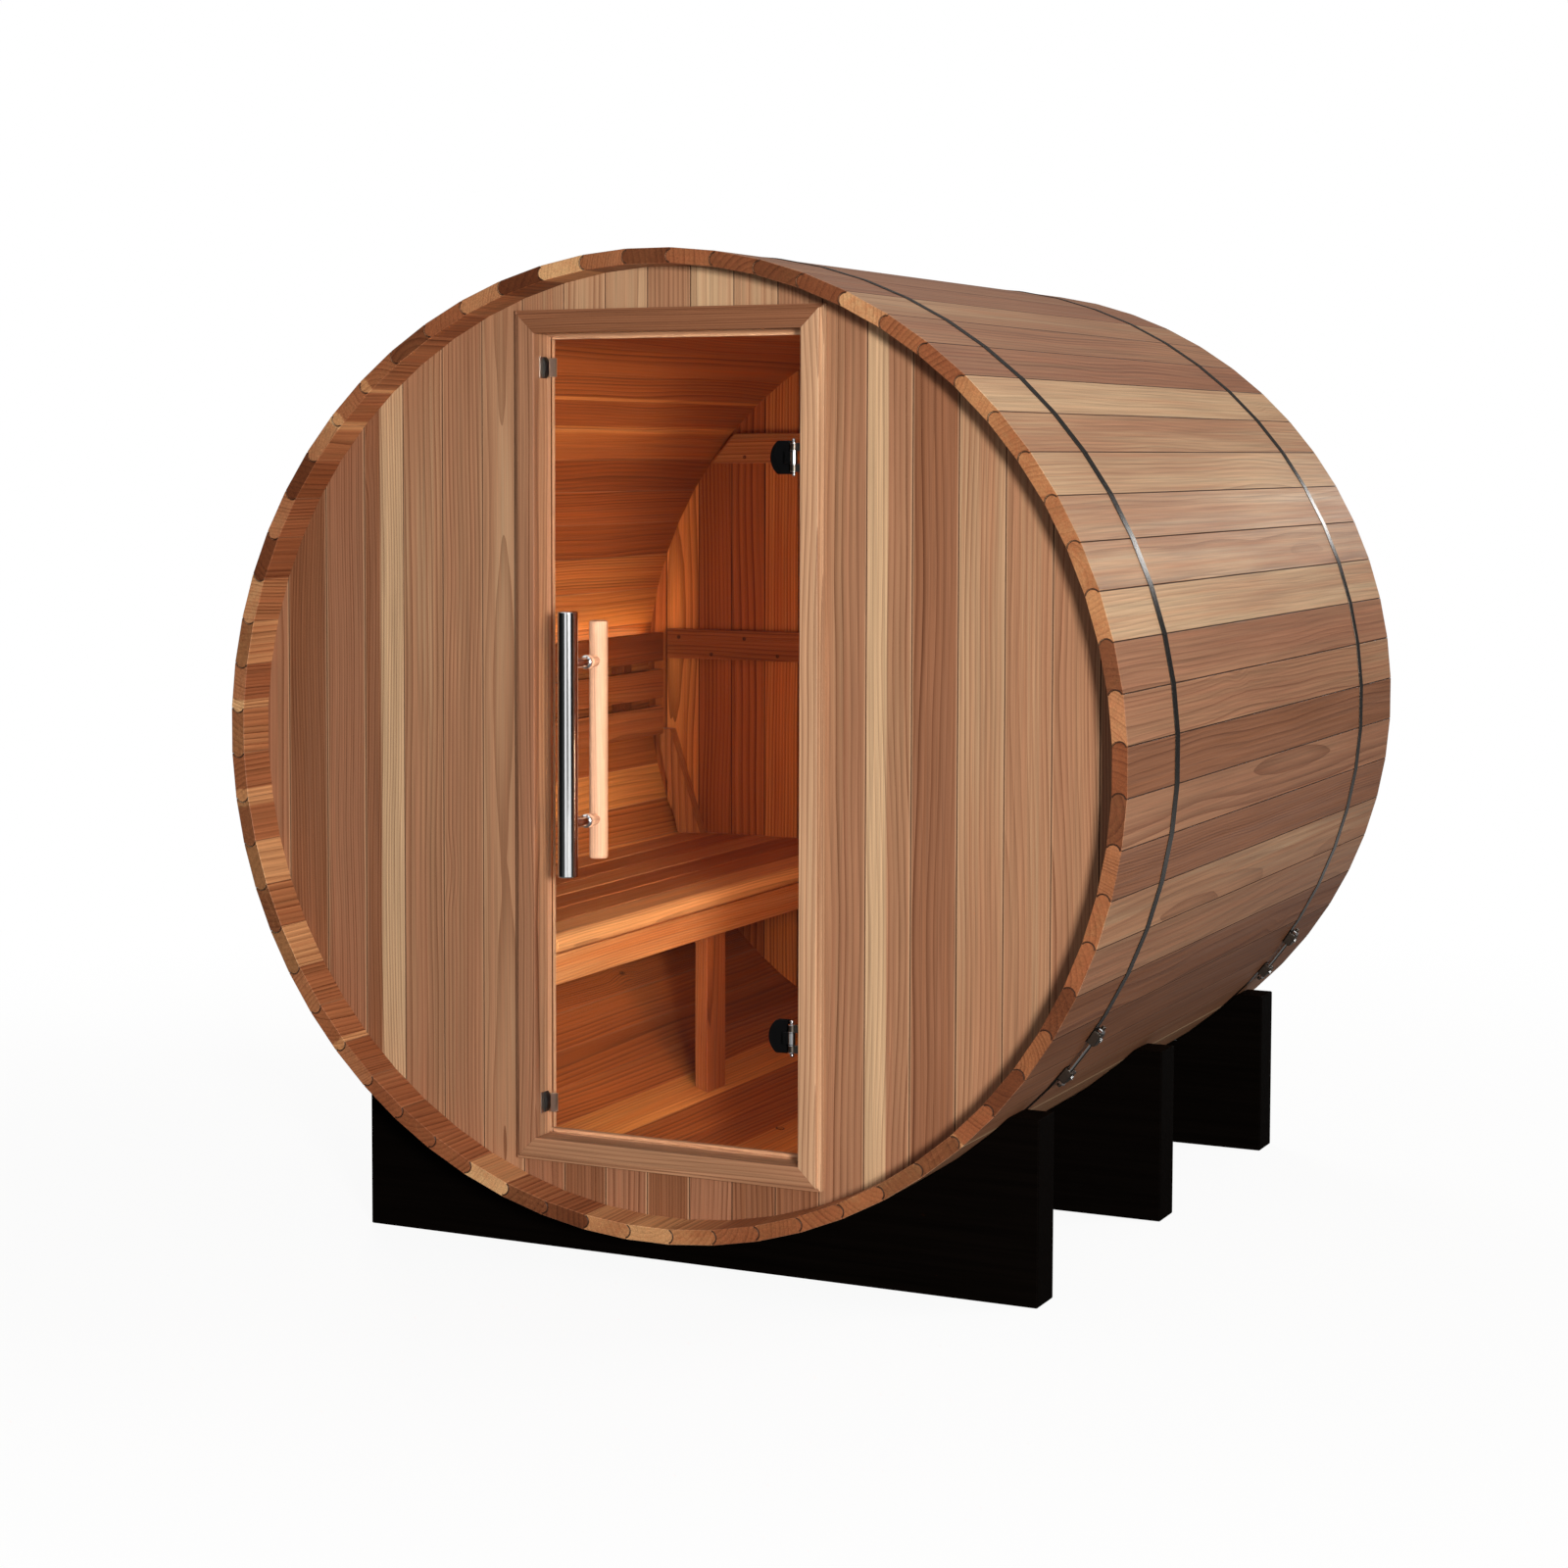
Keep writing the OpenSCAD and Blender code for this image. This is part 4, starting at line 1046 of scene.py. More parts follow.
class SAUNA_OT_bench(bpy.types.Operator):
    """Builds the bench: planks with a round front edge, apron, bearers and leg"""

    bl_idname = "sauna.bench"
    bl_label = "Bench"

    def execute(self, context):
        low, high = box("bench_planks")
        front_w, gap, count = 0.086, 0.003, 5
        thick = high.z - low.z
        planks = Timber(31)
        nose = arc((front_w / 2 - thick / 2, 0), thick / 2, -90, 90, 10)
        section = rounded([(-front_w / 2, thick / 2), (-front_w / 2, -thick / 2)], 0) + nose
        # The round-nosed front plank takes the palest tone, partly a painted highlight on its nose.
        planks.plank((high.x - front_w, low.y, low.z), high, 1, section, tone=0.0)
        width = (high.x - front_w - low.x) / count - gap
        for i in range(count):
            x = low.x + i * (width + gap)
            planks.plank((x, low.y, low.z), (x + width, high.y, high.z), 1,
                         tone=planks.draw.uniform(0.1, 0.4))
        planks.piece("bench_top_planks", "bench", "cedar_interior", ("bench_planks",))
        apron = Timber(33)
        apron.plank(*box("bench_apron"), 1, tone=0.22)
        apron.piece("bench_front_apron", "bench", "cedar_interior", ("bench_apron",))
        low, high = box("bench_bearers")
        thick = 0.038
        bearers = Timber(35)
        leg_low, leg_high = box("bench_leg")
        for y in (low.y, (leg_low.y + leg_high.y - thick) / 2, high.y - thick):
            bearers.plank((low.x, y, low.z), (high.x, y + thick, high.z), 0)
        bearers.piece("bench_cross_bearers", "bench", "cedar_interior", ("bench_bearers",))
        leg = Timber(37)
        play = 0.0003
        reach = R_OUT - timber().stave_t - play
        mid, size = (leg_low + leg_high) / 2, leg_high - leg_low

        def foot(u):
            return AXIS_Z - math.sqrt(reach ** 2 - (mid.x + u) ** 2) - mid.z

        leg.run(rectangle(size.x, size.y, 0.002), foot, lambda u: size.z / 2,
                lambda u, v, w: mid + Vector((u, v, w)), tone=0.5)
        leg.piece("bench_post", "bench", "cedar_interior", ("bench_leg",))
        return {"FINISHED"}


class SAUNA_OT_backrest(bpy.types.Operator):
    """Builds the backrest: slats, end supports, cleats and the strip light"""

    bl_idname = "sauna.backrest"
    bl_label = "Backrest"

    def execute(self, context):
        low, high = box("backrest_slats")
        height, count = 0.068, 3
        pitch = (high.z - low.z - height) / (count - 1)
        slats = Timber(43)
        for i in range(count):
            z = low.z + i * pitch
            slats.plank((low.x, low.y, z), (high.x, high.y, z + height), 1, tone=0.45 + 0.12 * i)
        slats.piece("backrest_rails", "bench", "cedar_interior", ("backrest_slats",))

        bench = box("bench_planks")[1].z
        s_low, s_high = box("backrest_brackets")
        support_t, foot_w, top_w, rise, foot_gap = 0.031, 0.060, 0.037, 0.248, 0.010
        r_in = R_OUT - timber().stave_t
        foot = math.sqrt(r_in ** 2 - (bench - AXIS_Z) ** 2) - foot_gap
        outline = rounded([(-foot, bench), (foot_w - foot, bench),
                           (low.x + top_w, bench + rise), (low.x, bench + rise)], 0.002)
        props = Timber(47)
        for y in (s_low.y, s_high.y - support_t):
            props.loft([[(x, y - s_low.y + d, z) for x, z in outline] for d in (0, support_t)],
                       lambda u, v, w: Vector((u, s_low.y + v, w)))
        cleat_w, inset, play = 0.038, 0.130, 0.0003
        z0, z1 = low.z, box("light_bar")[0].z
        curve = [(play - math.sqrt(r_in ** 2 - (z - AXIS_Z) ** 2), z) for z in (z1, (z0 + z1) / 2, z0)]
        outline = curve + [(low.x, z0), (low.x, z1)]
        # The cleats take the darkest tone, a painted shade for the dark space behind the slats.
        for y in (low.y + inset, (low.y + high.y - cleat_w) / 2, high.y - inset - cleat_w):
            props.loft([[(x, d, z) for x, z in outline] for d in (0, cleat_w)],
                       lambda u, v, w: Vector((u, y + v, w)), tone=1.0)
        props.piece("backrest_supports", "bench", "cedar_interior", ("backrest_brackets",))
        bm = bmesh.new()
        eased_block(bm, *box("light_bar"), 0.002)
        finished("strip_light", bm, "lamp", CABIN, ("light_bar",))
        return {"FINISHED"}


class SAUNA_OT_battens(bpy.types.Operator):
    """Builds the battens across the rear wall, their screws and the plug in the floor"""

    bl_idname = "sauna.battens"
    bl_label = "Rear battens"

    def execute(self, context):
        low, high = box("rear_battens")
        height, clear, screw_clear = 0.070, 0.012, 0.02
        pitch = timber().board_w
        reach = R_OUT - timber().stave_t - clear
        battens = Timber(53)
        spots = []
        section = rectangle(height, high.y - low.y, timber().ease)
        for z, rows, tone in ((low.z, (0.012, 0.051), 0.55), (high.z - height, (0.014, 0.014), 0.25)):
            middle = z + height / 2

            def end(u):
                return min(high.x, math.sqrt(reach ** 2 - (middle + u - AXIS_Z) ** 2))

            battens.run(section, lambda u: -end(u), end,
                        lambda u, v, w: Vector((w, (low.y + high.y) / 2 + v, middle + u)), tone=tone)
            for i in range(-9, 10):
                rise = rows[i % 2]
                if abs(i * pitch) < end(rise - height / 2) - screw_clear:
                    spots.append((i * pitch, low.y, z + rise))
        battens.piece("rear_wall_battens", "bench", "cedar_interior", ("rear_battens",))
        fasteners("batten_screws", spots, (0, -1, 0), "dark", CABIN)
        self.plug()
        return {"FINISHED"}

    def plug(self):
        """Wooden plug in a floor stave, with the dark line round it."""
        up, aside = round_axes(2 * math.pi / timber().stave_count)
        line_r, plug_r, top_r, sunk = 0.0094, 0.0068, 0.0062, 0.0002
        seat = R_OUT - timber().stave_t - sunk
        base = Vector((0, -0.071, AXIS_Z)) - up * seat - aside * 0.0316
        line = bmesh.new()
        profile = [(0, -0.002), (line_r, -0.002), (line_r, 0.0006), (top_r, 0.0006), (0, 0.0004)]
        lathe(line, profile, base, up, 36)
        finished("floor_plug_line", line, "rubber", CABIN)
        disc = Timber(71)
        rim = arc((0, 0), 1.0, 0, 350, 35)
        disc.loft([[(x * r, h, y * r) for x, y in rim]
                   for r, h in ((plug_r, -0.001), (plug_r, 0.0006), (top_r, 0.0009))],
                  lambda u, v, w: base - aside * u + up * v + Vector((0, w, 0)), tone=0.3)
        disc.piece("floor_plug", "bench", "cedar_interior", ())


class SAUNA_OT_cradles(bpy.types.Operator):
    """Builds the three black cradle planks"""

    bl_idname = "sauna.cradles"
    bl_label = "Cradles"

    def execute(self, context):
        play = 0.0003
        corner = R_OUT / math.cos(math.pi / timber().stave_count) + play
        for node in ("cradle_front", "cradle_middle", "cradle_rear"):
            low, high = box(node)
            reach = math.sqrt(corner ** 2 - (AXIS_Z - high.z) ** 2)
            start = math.degrees(math.atan2(high.z - AXIS_Z, reach))
            hollow = [(x, z + AXIS_Z) for x, z in arc((0, 0), corner, start, -180 - start, 64)]
            outline = [(low.x, 0.0), (high.x, 0.0), (high.x, high.z)] + hollow + [(low.x, high.z)]
            bm = bmesh.new()
            skin(bm, [[bm.verts.new((x, y, z)) for x, z in outline] for y in (low.y, high.y)])
            finished(node + "_plank", bm, "stain", CABIN, (node,), bevel=0.003)
        return {"FINISHED"}


class SAUNA_OT_bands(bpy.types.Operator):
    """Builds the steel bands and their tensioners"""

    bl_idname = "sauna.bands"
    bl_label = "Bands"

    def execute(self, context):
        count = timber().stave_count
        step = 2 * math.pi / count
        lug_stave, play, tail = 6, 0.0002, 0.013
        start = math.pi / 2 + (lug_stave + 0.5) * step
        for end in ("front", "rear"):
            low, high = box("band_" + end)
            width, middle = high.y - low.y, (high.y + low.y) / 2
            thick = high.z - AXIS_Z - R_OUT - play
            under = R_OUT + play
            section = rectangle(width, thick, 0.0005, 2)
            bm = bmesh.new()

            def ring(angle, slide, share):
                """Section of the strip at an angle, slid along it, its distance out divided by a share."""
                out, along = round_axes(angle)
                return [bm.verts.new(out * ((under + thick / 2 + v) / share) + along * slide
                                     + Vector((0, middle + u, AXIS_Z))) for u, v in section]

            rings = [ring(start + 0.5 * step, -tail, 1)]
            rings += [ring(start + i * step, 0, math.cos(step / 2)) for i in range(1, count)]
            rings.append(ring(start + (count - 0.5) * step, tail, 1))
            skin(bm, rings)
            finished("steel_band_" + end, bm, "band", CABIN, ("band_" + end,), angle=25)
            self.tensioner(end, middle, width, start, step, under + thick)
        return {"FINISHED"}

    def tensioner(self, end, middle, width, angle, step, seat):
        """Two lugs, their rods, nuts and bolt heads."""
        out, along = round_axes(angle)
        side = Vector((0, 1, 0))
        centre = Vector((0, middle, AXIS_Z))
        lug_len, lug_h, nut_r, nut_h, nut_play = 0.026, 0.017, 0.0075, 0.007, 0.0005
        rod_at = centre + out * ((seat + lug_h / 2) * math.cos(step / 2))
        lug_half = (seat + lug_h / 2) * math.sin(step / 2)
        nut = [(0, 0), (nut_r - 0.0008, 0), (nut_r, 0.0008), (nut_r, nut_h - 0.0012), (nut_r - 0.0014, nut_h),
               (0, nut_h)]
        cap = [(0, 0), (0.0046, 0), (0.0046, 0.0026), (0.004, 0.0032), (0.0021, 0.0032), (0.0019, 0.0016),
               (0, 0.0016)]
        lugs, rods = bmesh.new(), bmesh.new()
        for sign in (-1, 1):
            up, tangent = round_axes(angle + sign * step / 2)
            turn = Matrix((tangent, side, up)).transposed()
            eased_block(lugs, (-lug_len / 2, -width / 2, seat), (lug_len / 2, width / 2, seat + lug_h),
                        0.0016, lambda spot: centre + turn @ spot)
            lathe(rods, nut, rod_at + along * sign * (lug_half + lug_len / 2 + nut_play), along * sign, 6)
            lathe(rods, cap, centre + up * (seat + lug_h - 0.0006) + side * width * 0.2, up, 16)
        half = lug_half + lug_len / 2 + nut_h + 0.0065
        lathe(lugs, eased_rod(0.004, 2 * half, 0.0008), rod_at - along * half, along, 20)
        short = lug_half - lug_len / 2 + 0.003
        guide = rod_at - side * width * 0.32 - along * short
        lathe(rods, eased_rod(0.0028, 2 * short, 0.0004), guide, along, 16)
        name = "tensioner_" + end
        finished(name + "_set", lugs, "dull", CABIN, (name,), angle=30)
        finished(name + "_bright_parts", rods, "bright", CABIN, angle=30)


class SAUNA_OT_glass(bpy.types.Operator):
    """Builds the glass pane with polished edges and holes for the handle"""

    bl_idname = "sauna.glass"
    bl_label = "Glass pane"

    def execute(self, context):
        low, high = box("door_glass")
        bm = bmesh.new()
        outline = rectangle(high.x - low.x, high.z - low.z, 0.003, 4)
        mid = (low + high) / 2
        edge = 0.0009
        rings = []
        for y, inset in ((low.y, edge), (low.y + edge, 0), (high.y - edge, 0), (high.y, edge)):
            sx, sz = 1 - 2 * inset / (high.x - low.x), 1 - 2 * inset / (high.z - low.z)
            rings.append([bm.verts.new((mid.x + x * sx, y, mid.z + z * sz)) for x, z in outline])
        skin(bm, rings)
        pane = placed("pane", mesh_from(bm, "pane"))
        posts_low, posts_high = box("handle_posts")
        collar = 0.026
        x = (posts_low.x + posts_high.x) / 2
        carved(pane, [rod_tool((x, low.y - 0.01, z), (0, 1, 0), 0.005, 0.04)
                      for z in (posts_low.z + collar / 2, posts_high.z - collar / 2)])
        mesh = pane.data
        bpy.data.objects.remove(pane)
        pane = finished("glass_pane", mesh, "glass", DOOR, ("door_glass",), angle=25)
        pane.visible_shadow = False
        return {"FINISHED"}


class SAUNA_OT_handle(bpy.types.Operator):
    """Builds the steel tube outside, the wooden bar inside and the posts between them"""

    bl_idname = "sauna.handle"
    bl_label = "Door handle"

    def execute(self, context):
        low, high = box("handle_tube")
        mid, radius = (low + high) / 2, (high.x - low.x) / 2
        tube = bmesh.new()
        lathe(tube, eased_rod(radius, high.z - low.z, 0.003), (mid.x, mid.y, low.z), (0, 0, 1), 48)
        finished("handle_grip_tube", tube, "bright", DOOR,
                 ("handle_tube", "handle_caps"), angle=35)
        self.mounts(mid.x, mid.y + radius)
        self.inner_bar()
        return {"FINISHED"}

    def mounts(self, x, tube_back):
        """Ribbed posts from the tube to the glass, each with a collar and a stud through the glass."""
        low, high = box("handle_posts")
        glass = box("door_glass")[0].y
        collar, post, groove = (high.x - low.x) / 2, 0.0095, 0.0014
        play, sunk = 0.0002, 0.004
        reach = glass - play - (tube_back - sunk)
        profile = [(0, 0), (post - 0.001, 0)]
        for i in range(4):
            at = reach * (0.18 + 0.13 * i)
            profile += [(post, at - 0.0022), (post, at),
                        (post - groove, at + 0.0008), (post - groove, at + 0.0022)]
        profile += [(post, reach - 0.009), (post, reach - 0.0062), (collar - 0.0012, reach - 0.005),
                    (collar, reach - 0.0038), (collar, reach - 0.0008), (collar - 0.0008, reach), (0, reach)]
        bm = bmesh.new()
        for z in (low.z + collar, high.z - collar):
            lathe(bm, profile, (x, glass - play - reach, z), (0, 1, 0), 36)
            lathe(bm, eased_rod(0.004, high.y - glass, 0.0005), (x, glass - 0.0001, z), (0, 1, 0), 20)
        finished("handle_mounts", bm, "bright", DOOR, ("handle_posts",), angle=35)

    def inner_bar(self):
        """Round wooden bar and the pegs that hold it off the glass."""
        circle = arc((0, 0), 1.0, 0, 360 - 7.5, 47)

        def turned_wood(*cuts):
            return [[(x * r, y * r, w) for x, y in circle] for w, r in cuts]

        low, high = box("handle_bar")
        centre = (low + high) / 2
        r, half, ease = (high.x - low.x) / 2, (high.z - low.z) / 2, 0.004
        bar = Timber(61)
        bar.loft(turned_wood((-half, r - ease), (-half + ease * 0.3, r - ease * 0.3), (-half + ease, r),
                             (half - ease, r), (half - ease * 0.3, r - ease * 0.3), (half, r - ease)),
                 lambda u, v, w: centre + Vector((u, v, w)), tone=0.3)
        bar.piece("handle_inner_bar", "grip", "cedar_interior", ("handle_bar",), DOOR)
        low, high = box("handle_pegs")
        peg, span = (high.x - low.x) / 2, high.y - low.y
        pegs = Timber(67)
        for z in (low.z + peg, high.z - peg):
            pegs.loft(turned_wood((0, peg - 0.001), (0.001, peg),
                                  (span * 0.55, peg * 0.86), (span, peg * 0.8)),
                      lambda u, v, w: Vector((centre.x + u, low.y + w, z + v)), tone=0.3)
        pegs.piece("handle_inner_pegs", "grip", "cedar_interior", ("handle_pegs",), DOOR)


class SAUNA_OT_hinges(bpy.types.Operator):
    """Builds the hinges: leaves and pins on the jamb, plates on both faces of the glass"""

    bl_idname = "sauna.hinges"
    bl_label = "Hinges"

    def execute(self, context):
        axis_x, axis_y, _ = frame["joints"][0]["pos_m"]
        low, high = box("hinge_leaves")
        jamb_x, clamp_back = high.x, box("hinge_clamps")[1].y
        back_low, back_high = box("hinge_backplates")
        plate_x = back_high.x
        height, mid_h, gap, knuckle = 0.052, 0.022, 0.0004, 0.0065
        leaf_t, leaf_w, web, edge, chamfer = 0.003, 0.022, 0.006, 0.0006, 0.0008
        plate_h, plate_r, plate_t = 0.060, 0.038, 0.005
        lip, lip_h, ball, screw_in, screw_h = 0.0008, 0.0019, 0.004, 0.017, 0.018
        arm = (height - mid_h) / 2 - gap
        half = math.degrees(math.asin(plate_h / 2 / plate_r))
        disc = arc((0, 0), plate_r, 180 - half, 180 + half, 24)
        disc = rounded([(0, -plate_h / 2), (0, plate_h / 2)] + disc, [0.002, 0.002] + [0.0] * len(disc))
        collar = [(0, 0), (knuckle, 0), (knuckle + lip, 0.0005), (knuckle + lip, 0.0014),
                  (knuckle, lip_h), (0, lip_h)]
        pin = [(0, -0.001), (0.0026, -0.001), (0.0026, 0.0008)]
        pin += [(ball * math.sin(math.radians(a)), ball * (1 - math.cos(math.radians(a))) + 0.0004)
                for a in range(50, 180, 13)]
        pin.append((0, 2 * ball + 0.0004))
        leaves, knuckles, pins, clamps, barrels, backs = [bmesh.new() for _ in range(6)]
        spots = []

        def on_pin(bm, profile, z, up=1, steps=32):
            lathe(bm, profile, (axis_x, axis_y, z), (0, 0, up), steps)

        for z in (low.z + height / 2, high.z - height / 2):
            eased_block(leaves, (jamb_x - leaf_t, low.y, z - height / 2),
                        (jamb_x, low.y + leaf_w, z + height / 2), edge)
            for base in (z - height / 2, z + height / 2 - arm):
                on_pin(leaves, chamfered_rod(knuckle, arm, chamfer), base)
                eased_block(leaves, (axis_x + knuckle * 0.7, axis_y - web / 2, base),
                            (jamb_x - leaf_t * 0.5, axis_y + web / 2, base + arm), edge)
                for sign in (-1, 1):
                    on_pin(knuckles, collar, base + arm / 2 + sign * arm * 0.44 - 0.001)
            for sign in (-1, 1):
                on_pin(pins, pin, z + sign * height / 2, sign, 28)
            on_pin(barrels, chamfered_rod(knuckle, mid_h, chamfer), z - mid_h / 2)
            for bm, front, rim in ((clamps, clamp_back - plate_t, 0.0022), (backs, back_low.y, 0.0015)):
                outline_plate(bm, disc, lambda x, h, d: Vector((plate_x + x, front + d, z + h)), plate_t, rim)
            eased_block(clamps, (plate_x - plate_t, axis_y - 0.002, z - mid_h / 2),
                        (axis_x - knuckle * 0.6, clamp_back - 0.0006, z + mid_h / 2), 0.0008)
            spots += [(plate_x - screw_in, back_high.y, z + h) for h in (-screw_h, screw_h)]
        for name, bm, finish, body, slot, nodes, angle in (
                ("hinge_jamb_leaves", leaves, "dull", CABIN, "bright_metal", ("hinge_leaves",), 32),
                ("hinge_jamb_knuckles", knuckles, "bright", CABIN, "bright_metal", (), 32),
                ("hinge_pin_balls", pins, "bright", CABIN, "bright_metal", ("hinge_pins",), 40),
                ("hinge_glass_clamps", clamps, "plate", DOOR, "black_metal", ("hinge_clamps",), 32),
                ("hinge_glass_barrels", barrels, "bright", DOOR, "bright_metal", (), 32),
                ("hinge_glass_backs", backs, "plate", DOOR, "black_metal", ("hinge_backplates",), 32)):
            finished(name, bm, finish, body, nodes, angle)
        fasteners("hinge_screws", spots, (0, 1, 0), "dull", DOOR, 0.9)
        return {"FINISHED"}


class SAUNA_OT_catches(bpy.types.Operator):
    """Builds the roller catches on the jamb and the clips on the glass"""

    bl_idname = "sauna.catches"
    bl_label = "Catches"

    def execute(self, context):
        low, high = box("catch_plates")
        b_low, b_high = box("catch_bumpers")
        s_low, s_high = box("strike_clips")
        height, clip_h, clip_t, inset = 0.040, 0.034, 0.0015, 0.0004
        bulge = b_high.x - b_low.x
        radius = ((height / 2) ** 2 + bulge ** 2) / (2 * bulge)
        half = math.degrees(math.asin(height / 2 / radius))
        crown = arc((bulge - radius, 0), radius, -half, half, 20)[1:-1]
        rim = [(0.0, -height / 2 + inset)] + crown + [(0.0, height / 2 - inset)]
        wide, depth = s_high.x - s_low.x, s_high.y - s_low.y
        channel = rounded(
            [(0, 0), (wide, 0), (wide, clip_t), (clip_t, clip_t),
             (clip_t, depth - clip_t), (wide, depth - clip_t), (wide, depth), (0, depth)],
            [0.0007, 0.0004, 0.0004, 0.0002, 0.0002, 0.0004, 0.0004, 0.0007], 2)
        plates, bumpers, clips = [bmesh.new() for _ in range(3)]
        for z in (low.z + height / 2, high.z - height / 2):
            eased_block(plates, (low.x, low.y, z - height / 2), (high.x, high.y, z + height / 2), 0.0005)
            outline_plate(bumpers, rim, lambda x, h, d: Vector((b_low.x + x, b_low.y + d, z + h)),
                          b_high.y - b_low.y, 0.0012)
            skin(clips, [[clips.verts.new((s_low.x + x, s_low.y + y, z + h)) for x, y in channel]
                         for h in (-clip_h / 2, clip_h / 2)])
        finished("catch_base_plates", plates, "brushed", CABIN, ("catch_plates",))
        finished("catch_rollers", bumpers, "rubber", CABIN, ("catch_bumpers",), angle=32)
        finished("catch_glass_clips", clips, "brushed", DOOR, ("strike_clips",), angle=32)
        return {"FINISHED"}


class SAUNA_OT_stage(bpy.types.Operator):
    """Sets the floor, the lamps, the room light and the camera"""

    bl_idname = "sauna.stage"
    bl_label = "Studio"

    def execute(self, context):
        scene = context.scene
        look = scene.sauna_stage
        scene.view_settings.view_transform = "Standard"
        self.floor(look)
        self.room(scene, look)
        daylight, white, amber = (1.0, 0.98, 0.95), (1.0, 1.0, 1.0), (1.0, 0.66, 0.38)
        self.lamp("key_lamp", (4.5, -6.8, 1.9), (0.0, -0.8, 1.0), (0.9, 0.9), look.key_power, daylight)
        self.lamp("side_lamp", (4.4, 1.6, 4.6), (0.8, 0.1, 1.2), (2.0, 2.0), look.side_power, daylight)
        self.lamp("rim_lamp", (2.05, 6.2, 2.6), (0.8, 0.0, 1.37), (0.9, 0.5), look.rim_power, white)
        back = self.lamp("back_lamp", (-4.4, 5.2, 2.6), (0.0, 0.6, 1.0), (2.5, 2.5), look.back_power,
                         daylight)
        back.visible_glossy = False
        self.lamp("cabin_lamp", (0.52, -0.60, 0.80), (-0.1, 0.85, 1.2), (0.25, 0.25), look.cabin_power, amber)
        cards = ((-157, -34, 0.02), (-34, -8, 0.12), (14, 36, 0.3), (58, 111, 0.02), (112, 208, 0.3))
        for i, (start, end, grey) in enumerate(cards):
            self.dark_card("dark_card_%d" % (i + 1), start, end, grey)
        self.camera(scene, look)
        return {"FINISHED"}

    def camera(self, scene, look):
        data = bpy.data.cameras.new("camera")
        data.sensor_width = 36.0
        data.lens = look.lens
        data.shift_x, data.shift_y = 0.094, -0.075
        data.dof.use_dof = False
        camera = placed("camera", data)
        camera.location = (2.5347, -5.9348, 1.5058)
        camera.rotation_euler = (math.radians(86.16), 0, math.radians(26.99))
        scene.camera = camera

    def floor(self, look):
        """White floor that keeps the part's shadow; close by, metal mirrors it dark, a painted shadow of the
        part in reflections.
        """
        bm = bmesh.new()
        bmesh.ops.create_grid(bm, x_segments=1, y_segments=1, size=30)
        floor = placed("floor", mesh_from(bm, "floor"))
        f = Finish("floor_white")
        rays = f.node("ShaderNodeLightPath").outputs
        seen = f.math("MAXIMUM", rays["Is Camera Ray"], rays["Is Transmission Ray"])
        thrown = f.math("MAXIMUM", rays["Is Diffuse Ray"], rays["Is Glossy Ray"])
        f.set(Base_Color=f.mix(thrown, look.floor, look.bounce), Roughness=0.9, Specular_IOR_Level=0.0)
        glow = f.node("ShaderNodeEmission", {"Color": (1, 1, 1, 1), "Strength": 1.0})
        far = f.node("ShaderNodeVectorMath", {0: f.place()}, operation="LENGTH").outputs["Value"]
        # Glossy rays see the dark floor near the part and white further off: a painted shadow in reflections.
        mirrored = f.times(rays["Is Glossy Ray"], f.span(far, 2.0, 6.0))
        white = f.scaled(seen, f.span(far, 1.6, 4.2, 0.92, 1.0), mirrored)
        blend = f.node("ShaderNodeMixShader", {0: white})
        f.tree.links.new(f.shader.outputs[0], blend.inputs[1])
        f.tree.links.new(glow.outputs[0], blend.inputs[2])
        f.tree.links.new(blend.outputs[0], f.tree.nodes["Material Output"].inputs[0])
        floor.data.materials.append(f.material)

    def dark_card(self, name, start, end, grey):
        """Dark card and mat round part of the studio that only show as a reflection."""
        distance, height, lift, mat, steps = 12, 9.0, 0.002, 0.3, 8
        spots = arc((0, 0), distance, start - 90, end - 90, steps)
        bm = bmesh.new()
        rows = [[bm.verts.new((x * share, y * share, z)) for x, y in spots]
                for share, z in ((mat, lift), (1, lift), (1, height))]
        for near, far in zip(rows, rows[1:]):
            for i in range(steps):
                bm.faces.new((near[i], near[i + 1], far[i + 1], far[i]))
        card = placed(name, mesh_from(bm, name))
        f = Finish(name)
        f.set(Base_Color=(grey, grey, grey), Roughness=1.0, Specular_IOR_Level=0.0)
        card.data.materials.append(f.material)
        card.visible_camera = card.visible_diffuse = card.visible_shadow = card.visible_transmission = False

    def room(self, scene, look):
        """White where it is seen or mirrored, and a soft light from all round."""
        scene.world = bpy.data.worlds.new("studio_room")
        f = Finish("studio_room", scene.world)
        rays = f.node("ShaderNodeLightPath").outputs
        seen = f.math("MAXIMUM", rays["Is Camera Ray"], rays["Is Transmission Ray"])
        shown = f.math("MAXIMUM", seen, rays["Is Glossy Ray"])
        level = f.node("ShaderNodeMapRange", {0: shown, 3: look.sky, 4: 1.0}).outputs[0]
        f.set(Color=(1, 1, 1), Strength=level)

    def lamp(self, name, place, target, size, power, colour):
        data = bpy.data.lights.new(name, "AREA")
        data.shape = "RECTANGLE"
        data.size, data.size_y = size
        data.energy = power
        data.color = colour
        lamp = placed(name, data)
        lamp.location = place
        lamp.rotation_euler = (Vector(target) - Vector(place)).to_track_quat("-Z", "Y").to_euler()
        lamp.visible_camera = False
        return lamp


class SAUNA_PT_panel(bpy.types.Panel):
    """Lists the sauna's settings and its builders"""

    bl_label = "Barrel Sauna"
    bl_idname = "SAUNA_PT_panel"
    bl_space_type = "VIEW_3D"
    bl_region_type = "UI"
    bl_category = "Sauna"

    def draw(self, context):
        for group in ("sauna_timber", "sauna_colours", "sauna_stage"):
            settings = getattr(context.scene, group)
            for name in settings.__annotations__:
                self.layout.prop(settings, name)
        for builder in BUILDERS:
            self.layout.operator(builder.bl_idname)


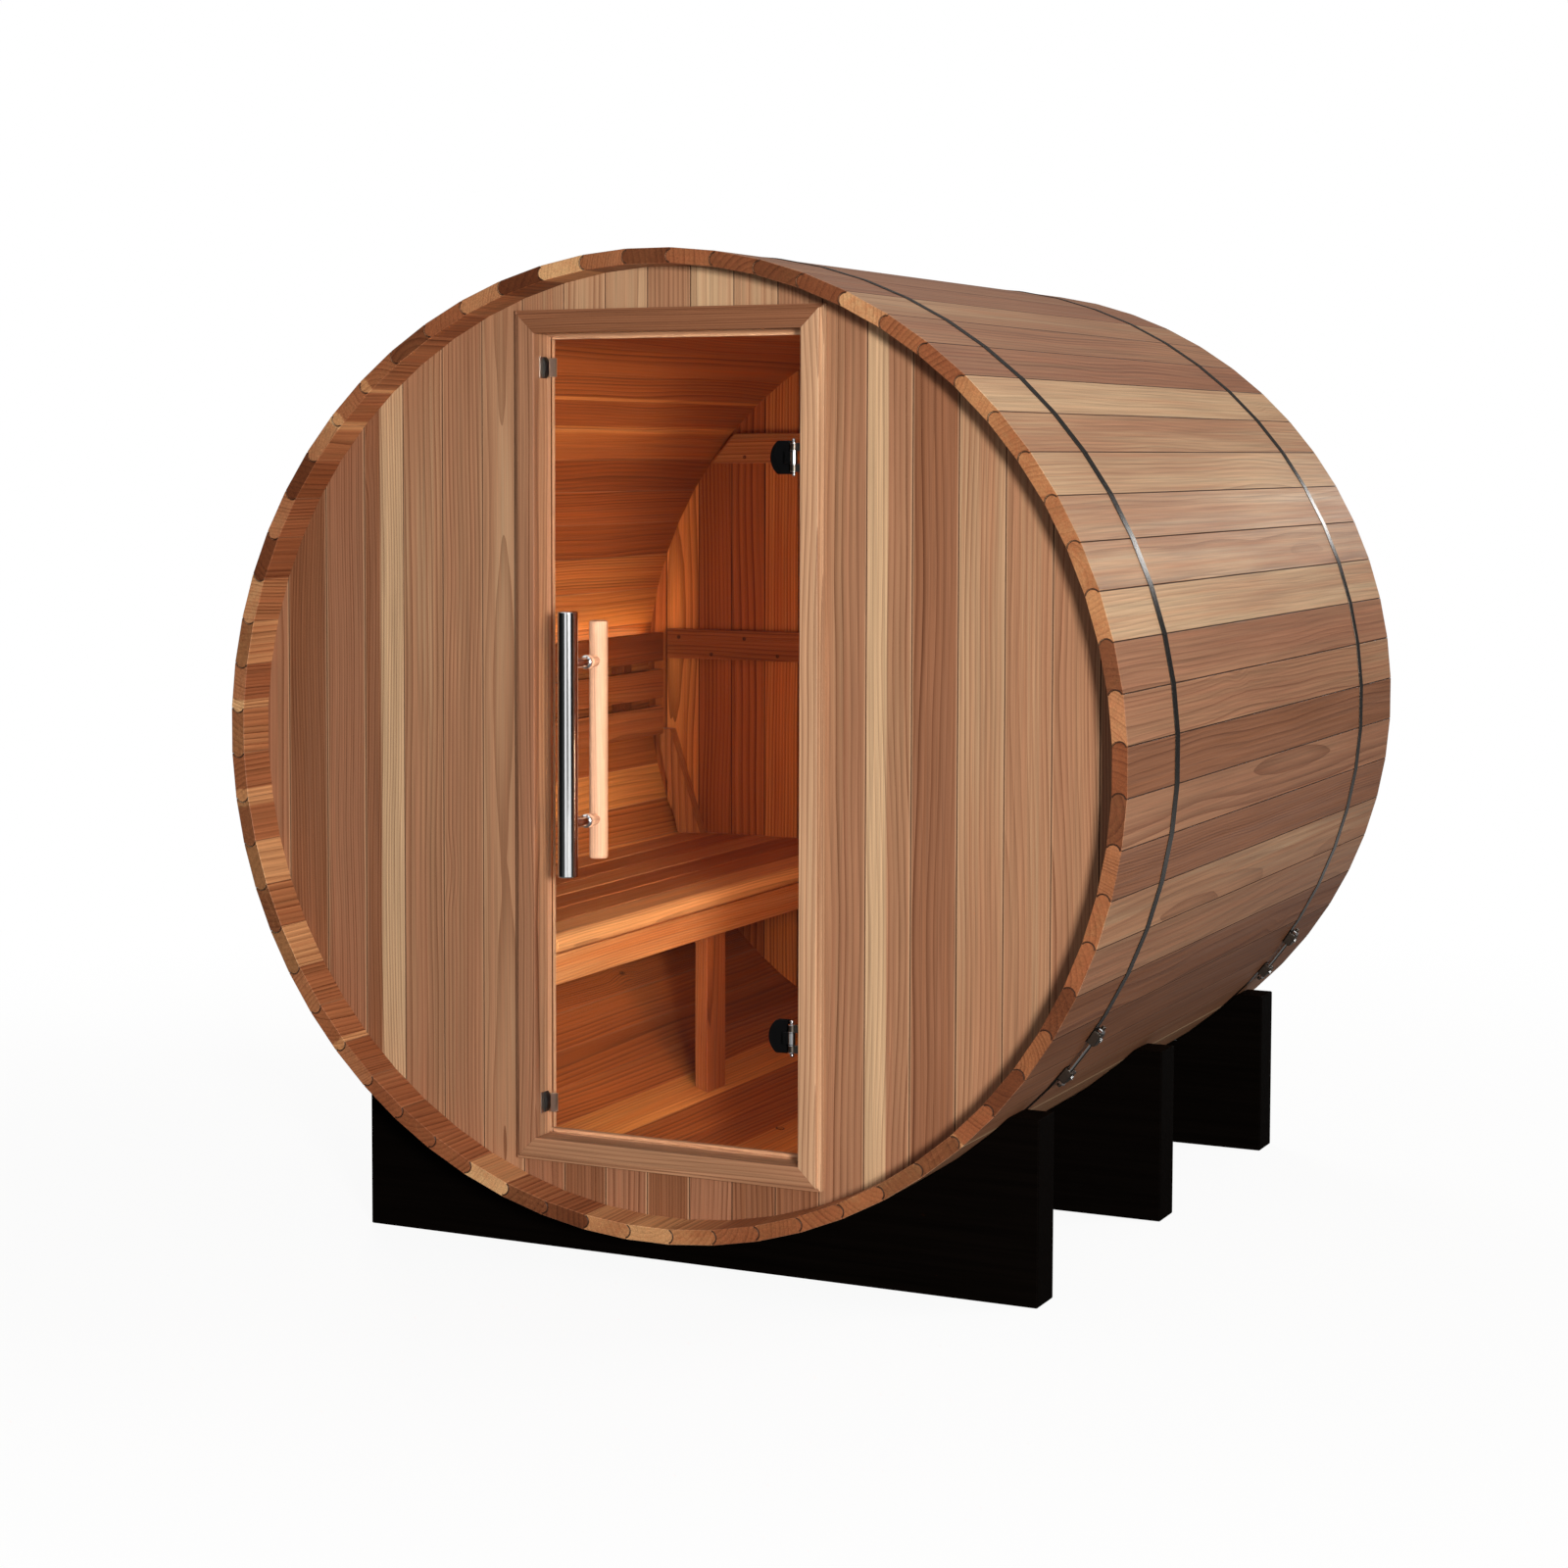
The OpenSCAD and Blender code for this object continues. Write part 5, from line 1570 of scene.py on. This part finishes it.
GROUPS = (SaunaTimber, SaunaColours, SaunaStage)
BUILDERS = (
    SAUNA_OT_stage, SAUNA_OT_staves, SAUNA_OT_end_walls, SAUNA_OT_doorway, SAUNA_OT_bench, SAUNA_OT_backrest,
    SAUNA_OT_battens, SAUNA_OT_cradles, SAUNA_OT_bands, SAUNA_OT_glass, SAUNA_OT_handle, SAUNA_OT_hinges,
    SAUNA_OT_catches,
)


def register():
    for kind in GROUPS + BUILDERS + (SAUNA_PT_panel,):
        bpy.utils.register_class(kind)
    bpy.types.Scene.sauna_timber = PointerProperty(type=SaunaTimber)
    bpy.types.Scene.sauna_colours = PointerProperty(type=SaunaColours)
    bpy.types.Scene.sauna_stage = PointerProperty(type=SaunaStage)


def unregister():
    for name in ("sauna_timber", "sauna_colours", "sauna_stage"):
        delattr(bpy.types.Scene, name)
    for kind in reversed(GROUPS + BUILDERS + (SAUNA_PT_panel,)):
        bpy.utils.unregister_class(kind)


def main():
    register()
    make_finishes()
    for builder in BUILDERS:
        family, action = builder.bl_idname.split(".")
        getattr(getattr(bpy.ops, family), action)()


if __name__ == "__main__":
    main()
